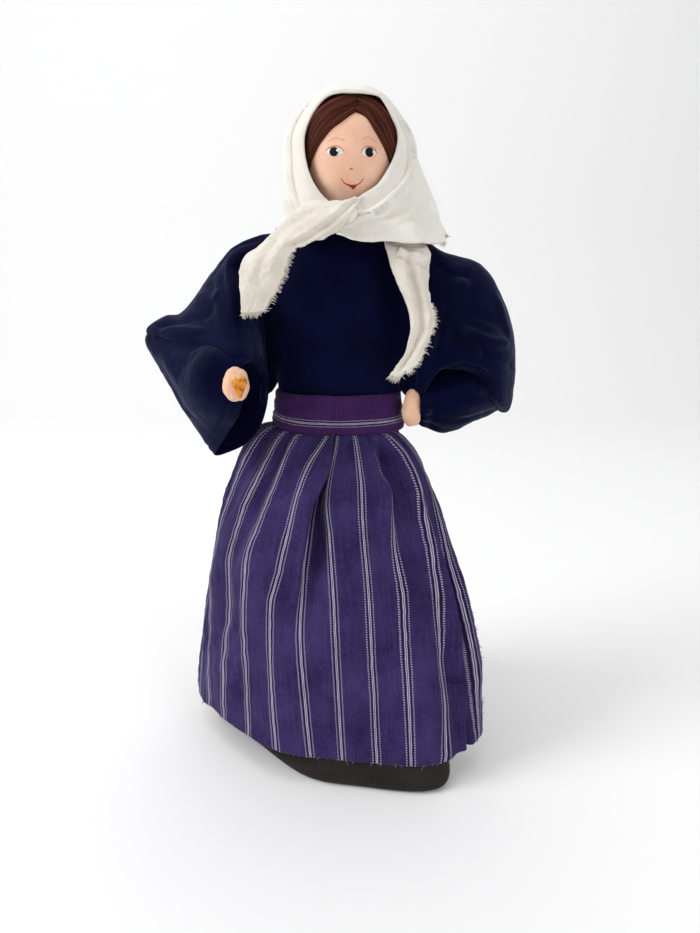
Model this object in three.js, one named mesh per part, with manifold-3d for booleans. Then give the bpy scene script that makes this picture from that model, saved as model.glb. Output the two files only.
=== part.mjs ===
// A dressed costume doll, about 250 mm tall, that stands on a cloth-covered board.
// Millimetres, +Z up, front towards -Y. The origin is under the sole, on the axis of the waist.
// "Right" and "left" are the doll's own: its right hand is on the -X side.
import * as THREE from 'three';
import { mergeVertices } from 'three/addons/utils/BufferGeometryUtils.js';
import Module from 'manifold-3d';

const wasm = await Module();
wasm.setup();

// Clearance and cloth
const GAP = 0.3;
const skirtCloth = 1.0;
const apronCloth = 0.8;
const blouseCloth = 0.8;
const bandCloth = 1.2;
const kerchiefCloth = 0.9;

// Base: a felt sole, a board and the skirt turned in under it. The outline's points give its shape,
// and the two lengths after it its size.
const footOutline = [
  [-54, 2], [-34, -21], [-11.5, -42], [9, -47], [33.6, -49.4], [41.3, -45.3],
  [43.5, -20], [42, 8], [34, 34], [8, 46], [-26, 44], [-50, 26],
];
const footWidth = 97.5;
const footDepth = 95.4;
const soleThickness = 1.0;
const boardThickness = 4.0;
const boardEdgeRound = 2.5;
const skirtTurnedIn = 9.0;
const skirtEdgeRound = 3.0;
const skirtSideStart = 0.5;

// Spine: one dowel from the board into the head, drilled across for the shoulder wire
const spineX = 3.0;
const spineRadius = 2.5;
const spineIntoHead = 23.0;

// Skirt, apron and waistband
const waistHeight = 130.0;
const bandHeight = 13.8;
const skirtTuck = 3.0;
const waistHalfWidth = 22.8;
const waistHalfDepth = 16.0;
const apronHemHeight = 12.0;
const skirtFlare = 0.8;
const bandLapStart = 92;
const bandLapAngle = 14;
const bandLapRise = 8;
const apronEdges = { left: -181, leftSpread: 7, right: -13, rightSpread: 22 };
const apronGatherDrop = 0.06;
// The fold along its right edge swells: by how much, how far down, over what share of its drop and width
const apronEdgeSwell = { out: 4.5, deepest: 0.76, reach: 0.36, width: 11 };

// Torso and blouse
const neckTop = 203.0;
const chestHalfWidth = 26.0;
const chestHalfDepth = 18.0;
const shoulderHalfWidth = 28.0;
const shoulderHalfDepth = 15.5;
const collarRadius = 10.5;
const armholeRadius = 6.0;
const armholeBelowNeck = 14.0;
const shoulderJointOut = 3.0;
const neckRadius = 6.5;
const neckLength = 6.8;

// Head, hair and kerchief
const headX = 5.0;
const headHeight = 36.0;
const headHalfWidth = 17.0;
const headHalfDepth = 18.0;
const hairThickness = 1.6;
const partingGap = 0.3;
const hoodX = 4.5;
const hoodY = 2.0;
const hoodHalfWidth = 23.0;
const hoodHalfDepth = 22.0;
const hoodRise = 22.3;
const hoodAboveHead = 5.3;
const hoodAboveNeck = 2.7;
const hoodRoundness = 2.4;
const hoodFlare = { left: 0.46, leftAngle: 12, back: 0.1, front: 0.06 };
const knotFromHood = [-3.0, -24.9, 0.3];
const knotHalf = [6.0, 3.7, 4.5];

// Arms: wire, wrapped padding, felt hand
const wireRadius = 0.8;
const wireJointGap = 0.6;
const elbowWireGap = 1.7;
const upperPaddingRadius = 3.4;
const forearmPaddingRadius = 2.8;
const shoulderPaddingStart = 5.0;
const elbowPaddingStart = 6.5;
const wristLength = 6.0;
const armBends = {
  right: { side: -1, upperArm: [-35, 3, -31], forearm: [28, -39, -4.5], hand: [5, -4, -1.5] },
  left: { side: 1, upperArm: [26, 16, -39], forearm: [-24, -23, -9], hand: [-5.2, -4, -2] },
};
const handHalf = { right: [4.3, 4.6, 5.7], left: [3.6, 4.6, 6.8] };
const pegSide = 5.0;
const pegPoint = 0.8;
const pegDepth = 3.0;
const pegFromPalm = { x: 1.6, proud: 0.2, z: 0.4 };

const { lerp, degToRad, clamp } = THREE.MathUtils;
const point = (p) => new THREE.Vector3(...p);
const plus = (a, b) => a.map((value, i) => value + b[i]);

// Smooth one-dimensional curve through [place, value] stations
function profile(stations) {
  const n = stations.length;
  const slope = (i) => {
    const a = stations[Math.max(i - 1, 0)];
    const b = stations[Math.min(i + 1, n - 1)];
    return (b[1] - a[1]) / (b[0] - a[0]);
  };
  return (x) => {
    const at = clamp(x, stations[0][0], stations[n - 1][0]);
    let i = 0;
    while (i < n - 2 && at > stations[i + 1][0]) i += 1;
    const [x0, y0] = stations[i];
    const [x1, y1] = stations[i + 1];
    const h = x1 - x0;
    const t = (at - x0) / h;
    const rise = y1 - y0;
    const m0 = slope(i) * h;
    const m1 = slope(i + 1) * h;
    return y0 + m0 * t + (3 * rise - 2 * m0 - m1) * t * t + (m0 + m1 - 2 * rise) * t * t * t;
  };
}

// Radius of a closed outline at an angle in degrees
function polar(outline) {
  const curve = new THREE.CatmullRomCurve3(outline.map(([x, y]) => new THREE.Vector3(x, y, 0)), true);
  const samples = curve.getPoints(360).map((p) => [Math.atan2(p.y, p.x), Math.hypot(p.x, p.y)]);
  samples.sort((a, b) => a[0] - b[0]);
  const turn = 2 * Math.PI;
  const last = samples[samples.length - 1];
  const ring = [[last[0] - turn, last[1]], ...samples, [samples[0][0] + turn, samples[0][1]]];
  return (degrees) => {
    const wrapped = degToRad(degrees) - turn * Math.round(degrees / 360);
    const i = ring.findIndex(([angle]) => angle >= wrapped);
    const [a0, r0] = ring[Math.max(i - 1, 0)];
    const [a1, r1] = ring[Math.max(i, 1)];
    return a1 > a0 ? lerp(r0, r1, (wrapped - a0) / (a1 - a0)) : r0;
  };
}

// Radius of an ellipse at an angle in degrees
function ellipse(halfWidth, halfDepth, degrees) {
  const c = Math.cos(degToRad(degrees)) / halfWidth;
  const s = Math.sin(degToRad(degrees)) / halfDepth;
  return 1 / Math.hypot(c, s);
}

function around(radius, degrees, z, centreX = 0, centreY = 0) {
  const a = degToRad(degrees);
  return new THREE.Vector3(centreX + radius * Math.cos(a), centreY + radius * Math.sin(a), z);
}

// Geometry from points and triangles, turned so that its faces point out
function meshOf(points, triangles) {
  let volume = 0;
  for (const [a, b, c] of triangles) {
    volume += points[a].dot(new THREE.Vector3().crossVectors(points[b], points[c]));
  }
  const index = triangles.flatMap(([a, b, c]) => (volume > 0 ? [a, b, c] : [a, c, b]));
  const geometry = new THREE.BufferGeometry();
  geometry.setAttribute('position', new THREE.Float32BufferAttribute(points.flatMap((p) => p.toArray()), 3));
  geometry.setIndex(index);
  return geometry;
}

function quads(list) {
  return list.flatMap(([a, b, c, d]) => [[a, b, c], [a, c, d]]);
}

// Solid through rings of equal count, closed by a flat fan at both ends
function loft(rings) {
  const n = rings[0].length;
  const points = rings.flat();
  const faces = [];
  for (let k = 0; k < rings.length - 1; k += 1) {
    for (let i = 0; i < n; i += 1) {
      const j = (i + 1) % n;
      faces.push([k * n + i, k * n + j, (k + 1) * n + j, (k + 1) * n + i]);
    }
  }
  const triangles = quads(faces);
  for (const [k, flip] of [[0, true], [rings.length - 1, false]]) {
    const centre = rings[k].reduce((sum, p) => sum.add(p), new THREE.Vector3()).divideScalar(n);
    points.push(centre);
    for (let i = 0; i < n; i += 1) {
      const pair = [k * n + i, k * n + ((i + 1) % n)];
      triangles.push([points.length - 1, ...(flip ? pair.reverse() : pair)]);
    }
  }
  return meshOf(points, triangles);
}

// Cloth of one thickness: the grid is its outer face, and side tells on which side the inner face lies
function cloth(grid, thickness, side, closed) {
  const columns = grid.length;
  const rows = grid[0].length;
  const column = (i) => (closed ? (i + columns) % columns : clamp(i, 0, columns - 1));
  const inner = grid.map((line, i) => line.map((p, j) => {
    const along = grid[column(i + 1)][j].clone().sub(grid[column(i - 1)][j]);
    const down = line[Math.min(j + 1, rows - 1)].clone().sub(line[Math.max(j - 1, 0)]);
    return p.clone().addScaledVector(along.cross(down).normalize(), side * thickness);
  }));
  const points = [...grid.flat(), ...inner.flat()];
  const out = (i, j) => column(i) * rows + j;
  const back = (i, j) => columns * rows + column(i) * rows + j;
  const faces = [];
  const spans = closed ? columns : columns - 1;
  for (let i = 0; i < spans; i += 1) {
    for (let j = 0; j < rows - 1; j += 1) {
      faces.push([out(i, j), out(i + 1, j), out(i + 1, j + 1), out(i, j + 1)]);
      faces.push([back(i, j + 1), back(i + 1, j + 1), back(i + 1, j), back(i, j)]);
    }
    const end = rows - 1;
    faces.push([out(i + 1, 0), out(i, 0), back(i, 0), back(i + 1, 0)]);
    faces.push([out(i, end), out(i + 1, end), back(i + 1, end), back(i, end)]);
  }
  if (!closed) {
    const edge = columns - 1;
    for (let j = 0; j < rows - 1; j += 1) {
      faces.push([out(0, j), out(0, j + 1), back(0, j + 1), back(0, j)]);
      faces.push([out(edge, j + 1), out(edge, j), back(edge, j), back(edge, j + 1)]);
    }
  }
  return meshOf(points, quads(faces));
}

function gridOf(columns, rows, place) {
  return Array.from({ length: columns }, (_, i) => Array.from({ length: rows }, (__, j) => place(i, j)));
}

function solid(geometry) {
  const bare = geometry.clone();
  bare.deleteAttribute('normal');
  bare.deleteAttribute('uv');
  const merged = mergeVertices(bare, 1e-4);
  return new wasm.Manifold(new wasm.Mesh({
    numProp: 3,
    vertProperties: new Float32Array(merged.attributes.position.array),
    triVerts: new Uint32Array(merged.index.array),
  }));
}

function geometryOf(manifold) {
  const mesh = manifold.getMesh();
  const geometry = new THREE.BufferGeometry();
  geometry.setAttribute('position', new THREE.Float32BufferAttribute(Array.from(mesh.vertProperties), 3));
  geometry.setIndex(Array.from(mesh.triVerts));
  return geometry;
}

// Round rod between two points
function rod(from, to, radius, sides = 12) {
  const axis = to.clone().sub(from);
  const geometry = new THREE.CylinderGeometry(radius, radius, axis.length(), sides);
  const turn = new THREE.Quaternion();
  turn.setFromUnitVectors(new THREE.Vector3(0, 1, 0), axis.clone().normalize());
  geometry.applyQuaternion(turn);
  const middle = from.clone().add(to).multiplyScalar(0.5);
  return geometry.translate(middle.x, middle.y, middle.z);
}

function spineRod(bottom, top, radius) {
  return rod(new THREE.Vector3(spineX, 0, bottom), new THREE.Vector3(spineX, 0, top), radius, 24);
}

function cut(geometry, ...tools) {
  return geometryOf(tools.reduce((body, tool) => body.subtract(solid(tool)), solid(geometry)));
}

// Materials
function material(color, roughness, metalness = 0) {
  return new THREE.MeshStandardMaterial({ color, roughness, metalness });
}

const felt = material(0x2e2b29, 0.95);
const boardWood = material(0xb08a5a, 0.7);
const dowelWood = material(0xc9a878, 0.6);
const wadding = material(0xe9e4d8, 1.0);
const skirtWool = material(0x322e2c, 0.95);
const apronCotton = material(0x463778, 0.85);
const bandCotton = material(0x4b235f, 0.85);
const blouseCotton = material(0x14183c, 0.7);
const kerchiefLinen = material(0xebe8e1, 0.9);
const skinJersey = material(0xe6b090, 0.8);
const handFelt = material(0xf0c8aa, 0.9);
const hairThread = material(0x3c1e19, 0.7);
const steelWire = material(0x8f8f8c, 0.35, 0.9);
const pegWood = material(0xdc8c14, 0.5);

const doll = new THREE.Group();
function add(name, geometry, look) {
  const mesh = new THREE.Mesh(geometry, look);
  mesh.name = name;
  doll.add(mesh);
}

// Heights that follow from the stack on the board
const boardBottom = soleThickness + GAP;
const boardTop = boardBottom + boardThickness;
const stuffingBottom = boardTop + GAP;
const skirtTop = waistHeight + skirtTuck;
const bandTop = waistHeight + bandHeight;
const blouseBottom = skirtTop + GAP;
const torsoTopDrop = blouseCloth + 2 * GAP;
const neckBottom = neckTop - torsoTopDrop + GAP;
const headBottom = neckBottom + neckLength + GAP;
const headTop = headBottom + headHeight;
const spineTop = headBottom + spineIntoHead;
const hoodEquator = headTop + hoodAboveHead - hoodRise;
const hoodBottom = neckTop + hoodAboveNeck;
const knotCentre = plus([hoodX, hoodY, hoodBottom], knotFromHood);
const shoulderHeight = neckTop - armholeBelowNeck;
const spineBore = spineRadius + GAP;
const wireBore = wireRadius + GAP;

// Joints of each arm, from the shoulder down
function armPoints({ side, upperArm, forearm, hand: toHand }) {
  const shoulder = [side * (shoulderHalfWidth + shoulderJointOut), 0, shoulderHeight];
  const elbow = plus(shoulder, upperArm);
  const wrist = plus(elbow, forearm);
  return { shoulder, elbow, wrist, hand: plus(wrist, toHand) };
}
const arms = { right: armPoints(armBends.right), left: armPoints(armBends.left) };

// Outlines around the axis of the waist, angles in degrees, 0 towards +X and -90 to the front
const spanOf = (axis) => {
  const values = footOutline.map((p) => p[axis]);
  return Math.max(...values) - Math.min(...values);
};
const footScale = [footWidth / spanOf(0), footDepth / spanOf(1)];
const baseRadius = polar(footOutline.map(([x, y]) => [x * footScale[0], y * footScale[1]]));
const bandInner = (degrees) => ellipse(waistHalfWidth + GAP, waistHalfDepth + GAP, degrees);
const skirtWaist = (degrees) => ellipse(waistHalfWidth, waistHalfDepth, degrees);
const skirtSideFoot = skirtEdgeRound + skirtSideStart;

function skirtRadius(degrees, z) {
  const drop = clamp((waistHeight - z) / (waistHeight - skirtSideFoot), 0, 1);
  return lerp(skirtWaist(degrees), baseRadius(degrees), drop ** skirtFlare);
}

const skirtLevels = 5;
const skirtHeights = [
  skirtTop,
  ...Array.from({ length: skirtLevels }, (_, k) => lerp(waistHeight, skirtSideFoot, k / (skirtLevels - 1))),
];
const ringSteps = 36;
const ringAngle = (i) => (360 * i) / ringSteps;

function prism(radiusAt, levels) {
  return loft(levels.map(([z, inset]) => (
    Array.from({ length: ringSteps }, (_, i) => around(radiusAt(ringAngle(i)) - inset, ringAngle(i), z))
  )));
}

function baseSole() {
  const inset = skirtTurnedIn + GAP;
  return prism(baseRadius, [[0, inset], [soleThickness, inset]]);
}

function baseBoard() {
  const side = skirtCloth + GAP;
  const board = prism(baseRadius, [
    [boardBottom, side + boardEdgeRound + GAP],
    [boardBottom + boardEdgeRound, side + GAP],
    [boardTop, side + 3 * GAP],
  ]);
  return cut(board, spineRod(0, stuffingBottom, spineBore));
}

function skirtStuffing() {
  const inset = skirtCloth + 2 * GAP;
  const heights = [stuffingBottom, ...skirtHeights.slice(1, -1).reverse(), skirtTop - GAP];
  const rings = heights.map((z) => (
    Array.from({ length: ringSteps }, (_, i) => around(skirtRadius(ringAngle(i), z) - inset, ringAngle(i), z))
  ));
  return cut(loft(rings), spineRod(0, neckTop, spineBore));
}

function skirt() {
  const turn = [[skirtEdgeRound * 0.3, skirtEdgeRound * 0.4], [skirtEdgeRound, 0], [skirtTurnedIn, 0]];
  const rows = skirtHeights.length + turn.length;
  const grid = gridOf(ringSteps, rows, (i, j) => {
    const degrees = ringAngle(i);
    const height = skirtHeights[j];
    if (j < skirtHeights.length) return around(skirtRadius(degrees, height), degrees, height);
    const [inset, z] = turn[j - skirtHeights.length];
    return around(baseRadius(degrees) - inset, degrees, z);
  });
  return cloth(grid, skirtCloth, 1, true);
}

// Apron: gathered at the band, open at the back, its right edge standing proud of a deep fold
const apronTop = waistHeight - GAP;
// How far its hem stands out past the skirt's foot
const apronStandOff = profile([
  [-190, 8.3], [-183, 8.2], [-163, 8.8], [-150, 8.6], [-136, 7.5], [-120, 5.3], [-101, 0.7],
  [-87, -0.6], [-75, -0.9], [-61, -2.6], [-52, -0.9], [-46, 1.0], [-40, 3.6], [-35, 12.6],
]);
const apronHem = (degrees) => baseRadius(degrees) + apronStandOff(degrees);
const apronSweep = profile([
  [-190, 0.42], [-172, 0.42], [-150, 0.5], [-90, 0.62], [-50, 0.72], [-38, 0.62], [-14, 0.5],
]);
const apronLeftEdge = (drop) => apronEdges.left - apronEdges.leftSpread * drop;
const apronRightEdge = (drop) => apronEdges.right - apronEdges.rightSpread * drop ** 0.45;
// Each fold: its angle at the band and at the hem, half-width, depth, and where down the cloth it is deepest
const apronFolds = [
  { top: -91, hem: -111, width: 3.6, depth: 4.6, deepest: 0.22, reach: 0.5 },
  { top: -60, hem: -49, width: 3.2, depth: 3.8, deepest: 0.2, reach: 0.34 },
  { top: -119, hem: -128, width: 3.0, depth: 2.2, deepest: 0.15, reach: 0.3 },
  { top: -145, hem: -150, width: 3.2, depth: 2.6, deepest: 0.3, reach: 0.5 },
  { top: -24, hem: -42, width: 3.4, depth: 6.0, deepest: 0.7, reach: 0.5 },
];

function apronFold(degrees, drop, radius) {
  let depth = 0;
  for (const fold of apronFolds) {
    const off = degToRad(degrees - lerp(fold.top, fold.hem, drop)) * radius;
    const fade = Math.exp(-(((drop - fold.deepest) / fold.reach) ** 2));
    depth += fold.depth * fade * Math.exp(-((off / fold.width) ** 2));
  }
  return depth * Math.min(1, drop / apronGatherDrop);
}

function apronSwell(degrees, drop) {
  const { out, deepest, reach, width } = apronEdgeSwell;
  const fromEdge = clamp((apronRightEdge(drop) - degrees) / width, 0, 1);
  return out * Math.exp(-(((drop - deepest) / reach) ** 2)) * (1 - fromEdge) ** 2;
}

function apron() {
  const columns = 50;
  const rows = 8;
  const rowCrowding = 1.35;
  const grid = gridOf(columns, rows, (i, j) => {
    const drop = (j / (rows - 1)) ** rowCrowding;
    const z = lerp(apronTop, apronHemHeight, drop);
    const degrees = lerp(apronLeftEdge(drop), apronRightEdge(drop), i / (columns - 1));
    const atBand = bandInner(degrees) + bandCloth;
    const smooth = lerp(atBand, apronHem(degrees), drop ** apronSweep(degrees));
    const folded = smooth - apronFold(degrees, drop, smooth) + apronSwell(degrees, drop);
    const leastRadius = skirtRadius(degrees, z) + apronCloth + 2 * GAP;
    return around(Math.max(folded, leastRadius), degrees, z);
  });
  return cloth(grid, apronCloth, 1, false);
}

// The band closes at the back, its end lapped over its start
function waistband() {
  const columns = 52;
  const grid = gridOf(columns, 2, (i, j) => {
    const turned = ((360 + bandLapAngle) * i) / (columns - 1);
    const degrees = bandLapStart + turned;
    const lapped = clamp((turned - 360 + bandLapRise) / bandLapRise, 0, 1) * (bandCloth + GAP);
    const radius = bandInner(degrees) + bandCloth + lapped;
    return around(radius, degrees, j === 0 ? bandTop : waistHeight);
  });
  return cloth(grid, bandCloth, 1, false);
}

// Torso and blouse share one shape, by height from the waist to the collar
const torsoShare = (z) => (z - waistHeight) / (neckTop - waistHeight);
const blouseWidth = profile([
  [0, waistHalfWidth - 0.6], [0.19, waistHalfWidth], [0.48, chestHalfWidth], [0.7, shoulderHalfWidth],
  [0.82, shoulderHalfWidth], [0.91, shoulderHalfWidth * 0.86], [0.96, shoulderHalfWidth * 0.62],
  [1, collarRadius],
]);
const blouseDepth = profile([
  [0, waistHalfDepth - 0.6], [0.19, waistHalfDepth], [0.48, chestHalfDepth], [0.7, chestHalfDepth - 0.5],
  [0.82, shoulderHalfDepth], [0.91, shoulderHalfDepth * 0.85], [0.96, shoulderHalfDepth * 0.72],
  [1, collarRadius - 0.5],
]);
const blouseRadius = (degrees, z, inset = 0) => (
  ellipse(blouseWidth(torsoShare(z)) - inset, blouseDepth(torsoShare(z)) - inset, degrees)
);
const blouseLevels = [0, 0.19, 0.34, 0.5, 0.7, 0.82, 0.9, 0.95, 1];
const bodySteps = 24;
const bodyAngle = (i) => (360 * i) / bodySteps;

function torsoStuffing() {
  const inset = blouseCloth + 1.5 * GAP;
  const rings = blouseLevels.map((share) => {
    const z = lerp(blouseBottom, neckTop, share);
    const drop = torsoTopDrop * THREE.MathUtils.smoothstep(share, 0.7, 0.95);
    return Array.from({ length: bodySteps }, (_, i) => (
      around(blouseRadius(bodyAngle(i), z, inset), bodyAngle(i), z - drop)
    ));
  });
  const wireHole = rod(
    new THREE.Vector3(-2 * shoulderHalfWidth, 0, shoulderHeight),
    new THREE.Vector3(2 * shoulderHalfWidth, 0, shoulderHeight),
    wireBore,
  );
  return cut(loft(rings), spineRod(0, headTop, spineBore), wireHole);
}

function bodice() {
  const grid = gridOf(bodySteps, blouseLevels.length, (i, j) => {
    const z = lerp(blouseBottom, neckTop, blouseLevels[j]);
    return around(blouseRadius(bodyAngle(i), z), bodyAngle(i), z);
  });
  const armhole = (side) => rod(
    new THREE.Vector3(side * (shoulderHalfWidth - 1.5 * armholeRadius), 0, shoulderHeight),
    new THREE.Vector3(side * (shoulderHalfWidth + 1.5 * armholeRadius), 0, shoulderHeight),
    armholeRadius,
    16,
  );
  return cut(cloth(grid, blouseCloth, -1, true), armhole(-1), armhole(1));
}

function neck() {
  const column = spineRod(neckBottom, neckBottom + neckLength, neckRadius);
  return cut(column, spineRod(0, headTop, spineBore));
}

function spineDowel() {
  const dowel = spineRod(boardBottom, spineTop, spineRadius);
  const hole = rod(
    new THREE.Vector3(spineX - 2 * spineRadius, 0, shoulderHeight),
    new THREE.Vector3(spineX + 2 * spineRadius, 0, shoulderHeight),
    wireBore,
  );
  return cut(dowel, hole);
}

// Head: an egg with the chin forward. Extra is how far a layer stands off the face cloth.
const headWidth = profile([
  [0, 0.42], [0.1, 0.62], [0.25, 0.83], [0.45, 0.97], [0.6, 1], [0.78, 0.9], [0.9, 0.66], [0.97, 0.38],
  [1, 0.18],
]);
const headCentreY = profile([[0, -4.5], [0.3, -2], [0.6, 0], [1, 1]]);
const headLevels = [0, 0.07, 0.18, 0.32, 0.47, 0.62, 0.76, 0.88, 0.96, 1];

function headEgg(extra) {
  const rings = headLevels.map((share) => {
    const z = lerp(headBottom - extra, headTop + extra, share);
    const width = headHalfWidth * headWidth(share) + extra;
    const depth = headHalfDepth * headWidth(share) + extra;
    return Array.from({ length: bodySteps }, (_, i) => (
      around(ellipse(width, depth, bodyAngle(i)), bodyAngle(i), z, headX, headCentreY(share))
    ));
  });
  return loft(rings);
}

function head() {
  return cut(headEgg(0), spineRod(neckBottom, spineTop + GAP, spineBore));
}

// Prism from in front of the head back to a depth. Its outline is [x, z] about the head's middle and top.
function frontPrism(outline, to) {
  const corners = outline.map(([x, z]) => new THREE.Vector3(headX + x, 0, headTop + z));
  const ring = new THREE.CatmullRomCurve3(corners, true, 'catmullrom', 0.4).getPoints(30).slice(0, -1);
  return loft([-3 * headHalfDepth, to].map((y) => ring.map((p) => new THREE.Vector3(p.x, y, p.z))));
}

// Hair: two halves that meet at the parting and frame the face
const hairline = [
  [0, -6], [5, -8.5], [9.5, -13], [13, -19], [15, -25], [16, -40], [0, -42], [-16, -40],
  [-14.5, -25], [-12.5, -19], [-9, -13], [-4.5, -8.5],
];

function hairHalf(side) {
  const span = 4 * headHalfWidth;
  const otherSide = new THREE.BoxGeometry(span, span, span);
  otherSide.translate(headX - side * (span / 2 - partingGap / 2), 0, headBottom + headHeight / 2);
  const below = new THREE.BoxGeometry(span, span, span);
  below.translate(headX, 0, headBottom + 0.32 * headHeight - span / 2);
  return cut(headEgg(hairThickness + GAP), headEgg(GAP), frontPrism(hairline, -5), otherSide, below);
}

// Kerchief hood: a dome over the head, flared on the left side towards the shoulder
function hoodRadius(degrees, z) {
  const up = clamp((z - hoodEquator) / hoodRise, 0, 1);
  const dome = (1 - up ** hoodRoundness) ** (1 / hoodRoundness);
  const below = Math.max(hoodEquator - z, 0);
  const toLeft = Math.max(Math.cos(degToRad(degrees - hoodFlare.leftAngle)), 0);
  const toBack = Math.sin(degToRad(degrees));
  const flare = hoodFlare.left * toLeft ** 2 + hoodFlare.back * Math.max(toBack, 0);
  const drawnIn = hoodFlare.front * Math.max(-toBack, 0) ** 4;
  return ellipse(hoodHalfWidth, hoodHalfDepth, degrees) * dome + below * (flare - drawnIn);
}

const faceOpening = [
  [-0.2, -0.9], [6.5, -2], [12.6, -7.5], [15.2, -16], [14.2, -23.5], [8.6, -30], [2.5, -35.3], [-2.1, -36.2],
  [-8.4, -33.6], [-13.2, -27], [-16.4, -17], [-14.6, -8], [-8.4, -2.4],
];

function kerchiefHood() {
  const columns = 30;
  const rows = 8;
  const levels = Array.from({ length: rows }, (_, j) => {
    const share = j / (rows - 1);
    return lerp(hoodBottom, hoodEquator + hoodRise * 0.998, 1 - (1 - share) ** 1.6);
  });
  const layer = (place) => loft(levels.map((z, j) => (
    Array.from({ length: columns }, (_, i) => place((360 * i) / columns, z, j / (rows - 1)))
  )));
  const outer = layer((degrees, z) => around(hoodRadius(degrees, z), degrees, z, hoodX, hoodY));
  // The hollow runs out through the bottom, and its top lies one cloth under the dome
  const hollow = layer((degrees, z, share) => {
    const radius = Math.max(hoodRadius(degrees, z) - kerchiefCloth, 1);
    const lowered = share === 0 ? 1 : kerchiefCloth * share ** 2;
    return around(radius, degrees, z - lowered, hoodX, hoodY);
  });
  return cut(outer, hollow, frontPrism(faceOpening, -4));
}

function kerchiefKnot() {
  const ball = new THREE.SphereGeometry(1, 12, 8);
  return ball.scale(...knotHalf).translate(...knotCentre);
}

// Kerchief drape: from the hood's lower edge onto the shoulders, longest at the back. It starts and ends
// at the knot's two sides, tucked under the one and short of the other.
const knotSide = (side) => {
  const x = knotFromHood[0] + side * knotHalf[0];
  return THREE.MathUtils.radToDeg(Math.atan2(knotFromHood[1], x));
};
const drapeStart = knotSide(1) - 0.9;
const drapeEnd = knotSide(-1) + 360 - 2.1;
const drapeTop = hoodBottom - GAP;
const drapeHemRadius = profile([
  [-84, 26], [-60, 29.5], [-45, 32], [0, 34.5], [16, 35.5], [50, 27], [70, 21], [90, 18.5],
  [110, 20.5], [135, 24.5], [180, 25.5], [225, 26], [248, 26],
]);
const drapeLength = profile([
  [-84, 6.2], [-45, 7.1], [0, 3.7], [16, 3.9], [50, 18.7], [75, 34.7], [90, 39.7],
  [105, 34.7], [135, 17.7], [180, 4.2], [225, 3.2], [248, 3.2],
]);

function drapePoint(degrees, drop) {
  const top = hoodRadius(degrees, hoodBottom);
  const z = lerp(drapeTop, hoodBottom - drapeLength(degrees), drop);
  return around(lerp(top, drapeHemRadius(degrees), drop), degrees, z, hoodX, hoodY);
}

function kerchiefDrape() {
  const columns = 36;
  const rows = 4;
  const grid = gridOf(columns, rows, (i, j) => (
    drapePoint(lerp(drapeStart, drapeEnd, i / (columns - 1)), j / (rows - 1))
  ));
  return cloth(grid, kerchiefCloth, 1, false);
}

// Strip between two edges, each a smooth curve through its points, crowned by a share of its width
const stripCrown = 0.12;

function strip(edgeA, edgeB, thickness, side) {
  const columns = 4;
  const rows = 10;
  const curves = [edgeA, edgeB].map((edge) => new THREE.CatmullRomCurve3(edge.map(point)));
  const grid = gridOf(columns, rows, (i, j) => {
    const across = i / (columns - 1);
    const [a, b] = curves.map((curve) => curve.getPoint(j / (rows - 1)));
    const crown = 4 * across * (1 - across) * stripCrown * a.distanceTo(b);
    return a.lerp(b, across).add(new THREE.Vector3(0, -crown, 0));
  });
  return cloth(grid, thickness, side, false);
}

// The points of both tails are offsets from the knot
const fromKnot = (offset) => plus(knotCentre, offset);

function rightTail() {
  const side = -knotHalf[0] - GAP;
  const upper = [
    [side, -1.4, 2.4], [-14.5, -1.1, 3], [-22.5, -0.1, -1], [-32.5, 2.4, -8], [-35, 1.9, -20],
    [-34.7, 0.9, -32.5],
  ];
  const lower = [
    [side, -1.4, -4.4], [-10.5, -1.6, -8.5], [-16.5, -1.1, -14], [-21, -0.1, -19], [-23.5, 0.4, -22],
    [-24.4, 0.9, -24.1],
  ];
  return strip(upper.map(fromKnot), lower.map(fromKnot), kerchiefCloth, 1);
}

function leftTail() {
  const under = (degrees) => {
    const p = drapePoint(degrees, 1);
    return [p.x, p.y, p.z - 2 * GAP];
  };
  const inner = [
    [20, -2.1, -17], [22.5, -2.6, -27.4], [24, -3.1, -38], [21, -3.6, -47.5], [16, -4.1, -52],
  ];
  const outer = [
    [31.5, -0.1, -20], [32.5, -1.1, -29], [32.4, -1.6, -35.5], [27, -3.1, -45.5], [21, -4.1, -54.5],
  ];
  return strip(
    [under(-57), ...inner.map(fromKnot)],
    [under(-37), ...outer.map(fromKnot)],
    kerchiefCloth,
    1,
  );
}

// Sleeve: rings given by their top, front, bottom and back as offsets from a joint of the arm
function sleeve(stations, side) {
  const columns = 16;
  const spans = 2;
  const rings = stations.map(({ at, corners }) => {
    const loop = new THREE.CatmullRomCurve3(corners.map((c) => point(c).add(point(at))), true);
    return Array.from({ length: columns }, (_, i) => loop.getPoint(i / columns));
  });
  const line = (_, i) => new THREE.CatmullRomCurve3(rings.map((ring) => ring[i]));
  const lines = Array.from({ length: columns }, line);
  const rows = (stations.length - 1) * spans + 1;
  const grid = gridOf(columns, rows, (i, j) => lines[i].getPoint(j / (rows - 1)));
  return cloth(grid, blouseCloth, side, true);
}

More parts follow.
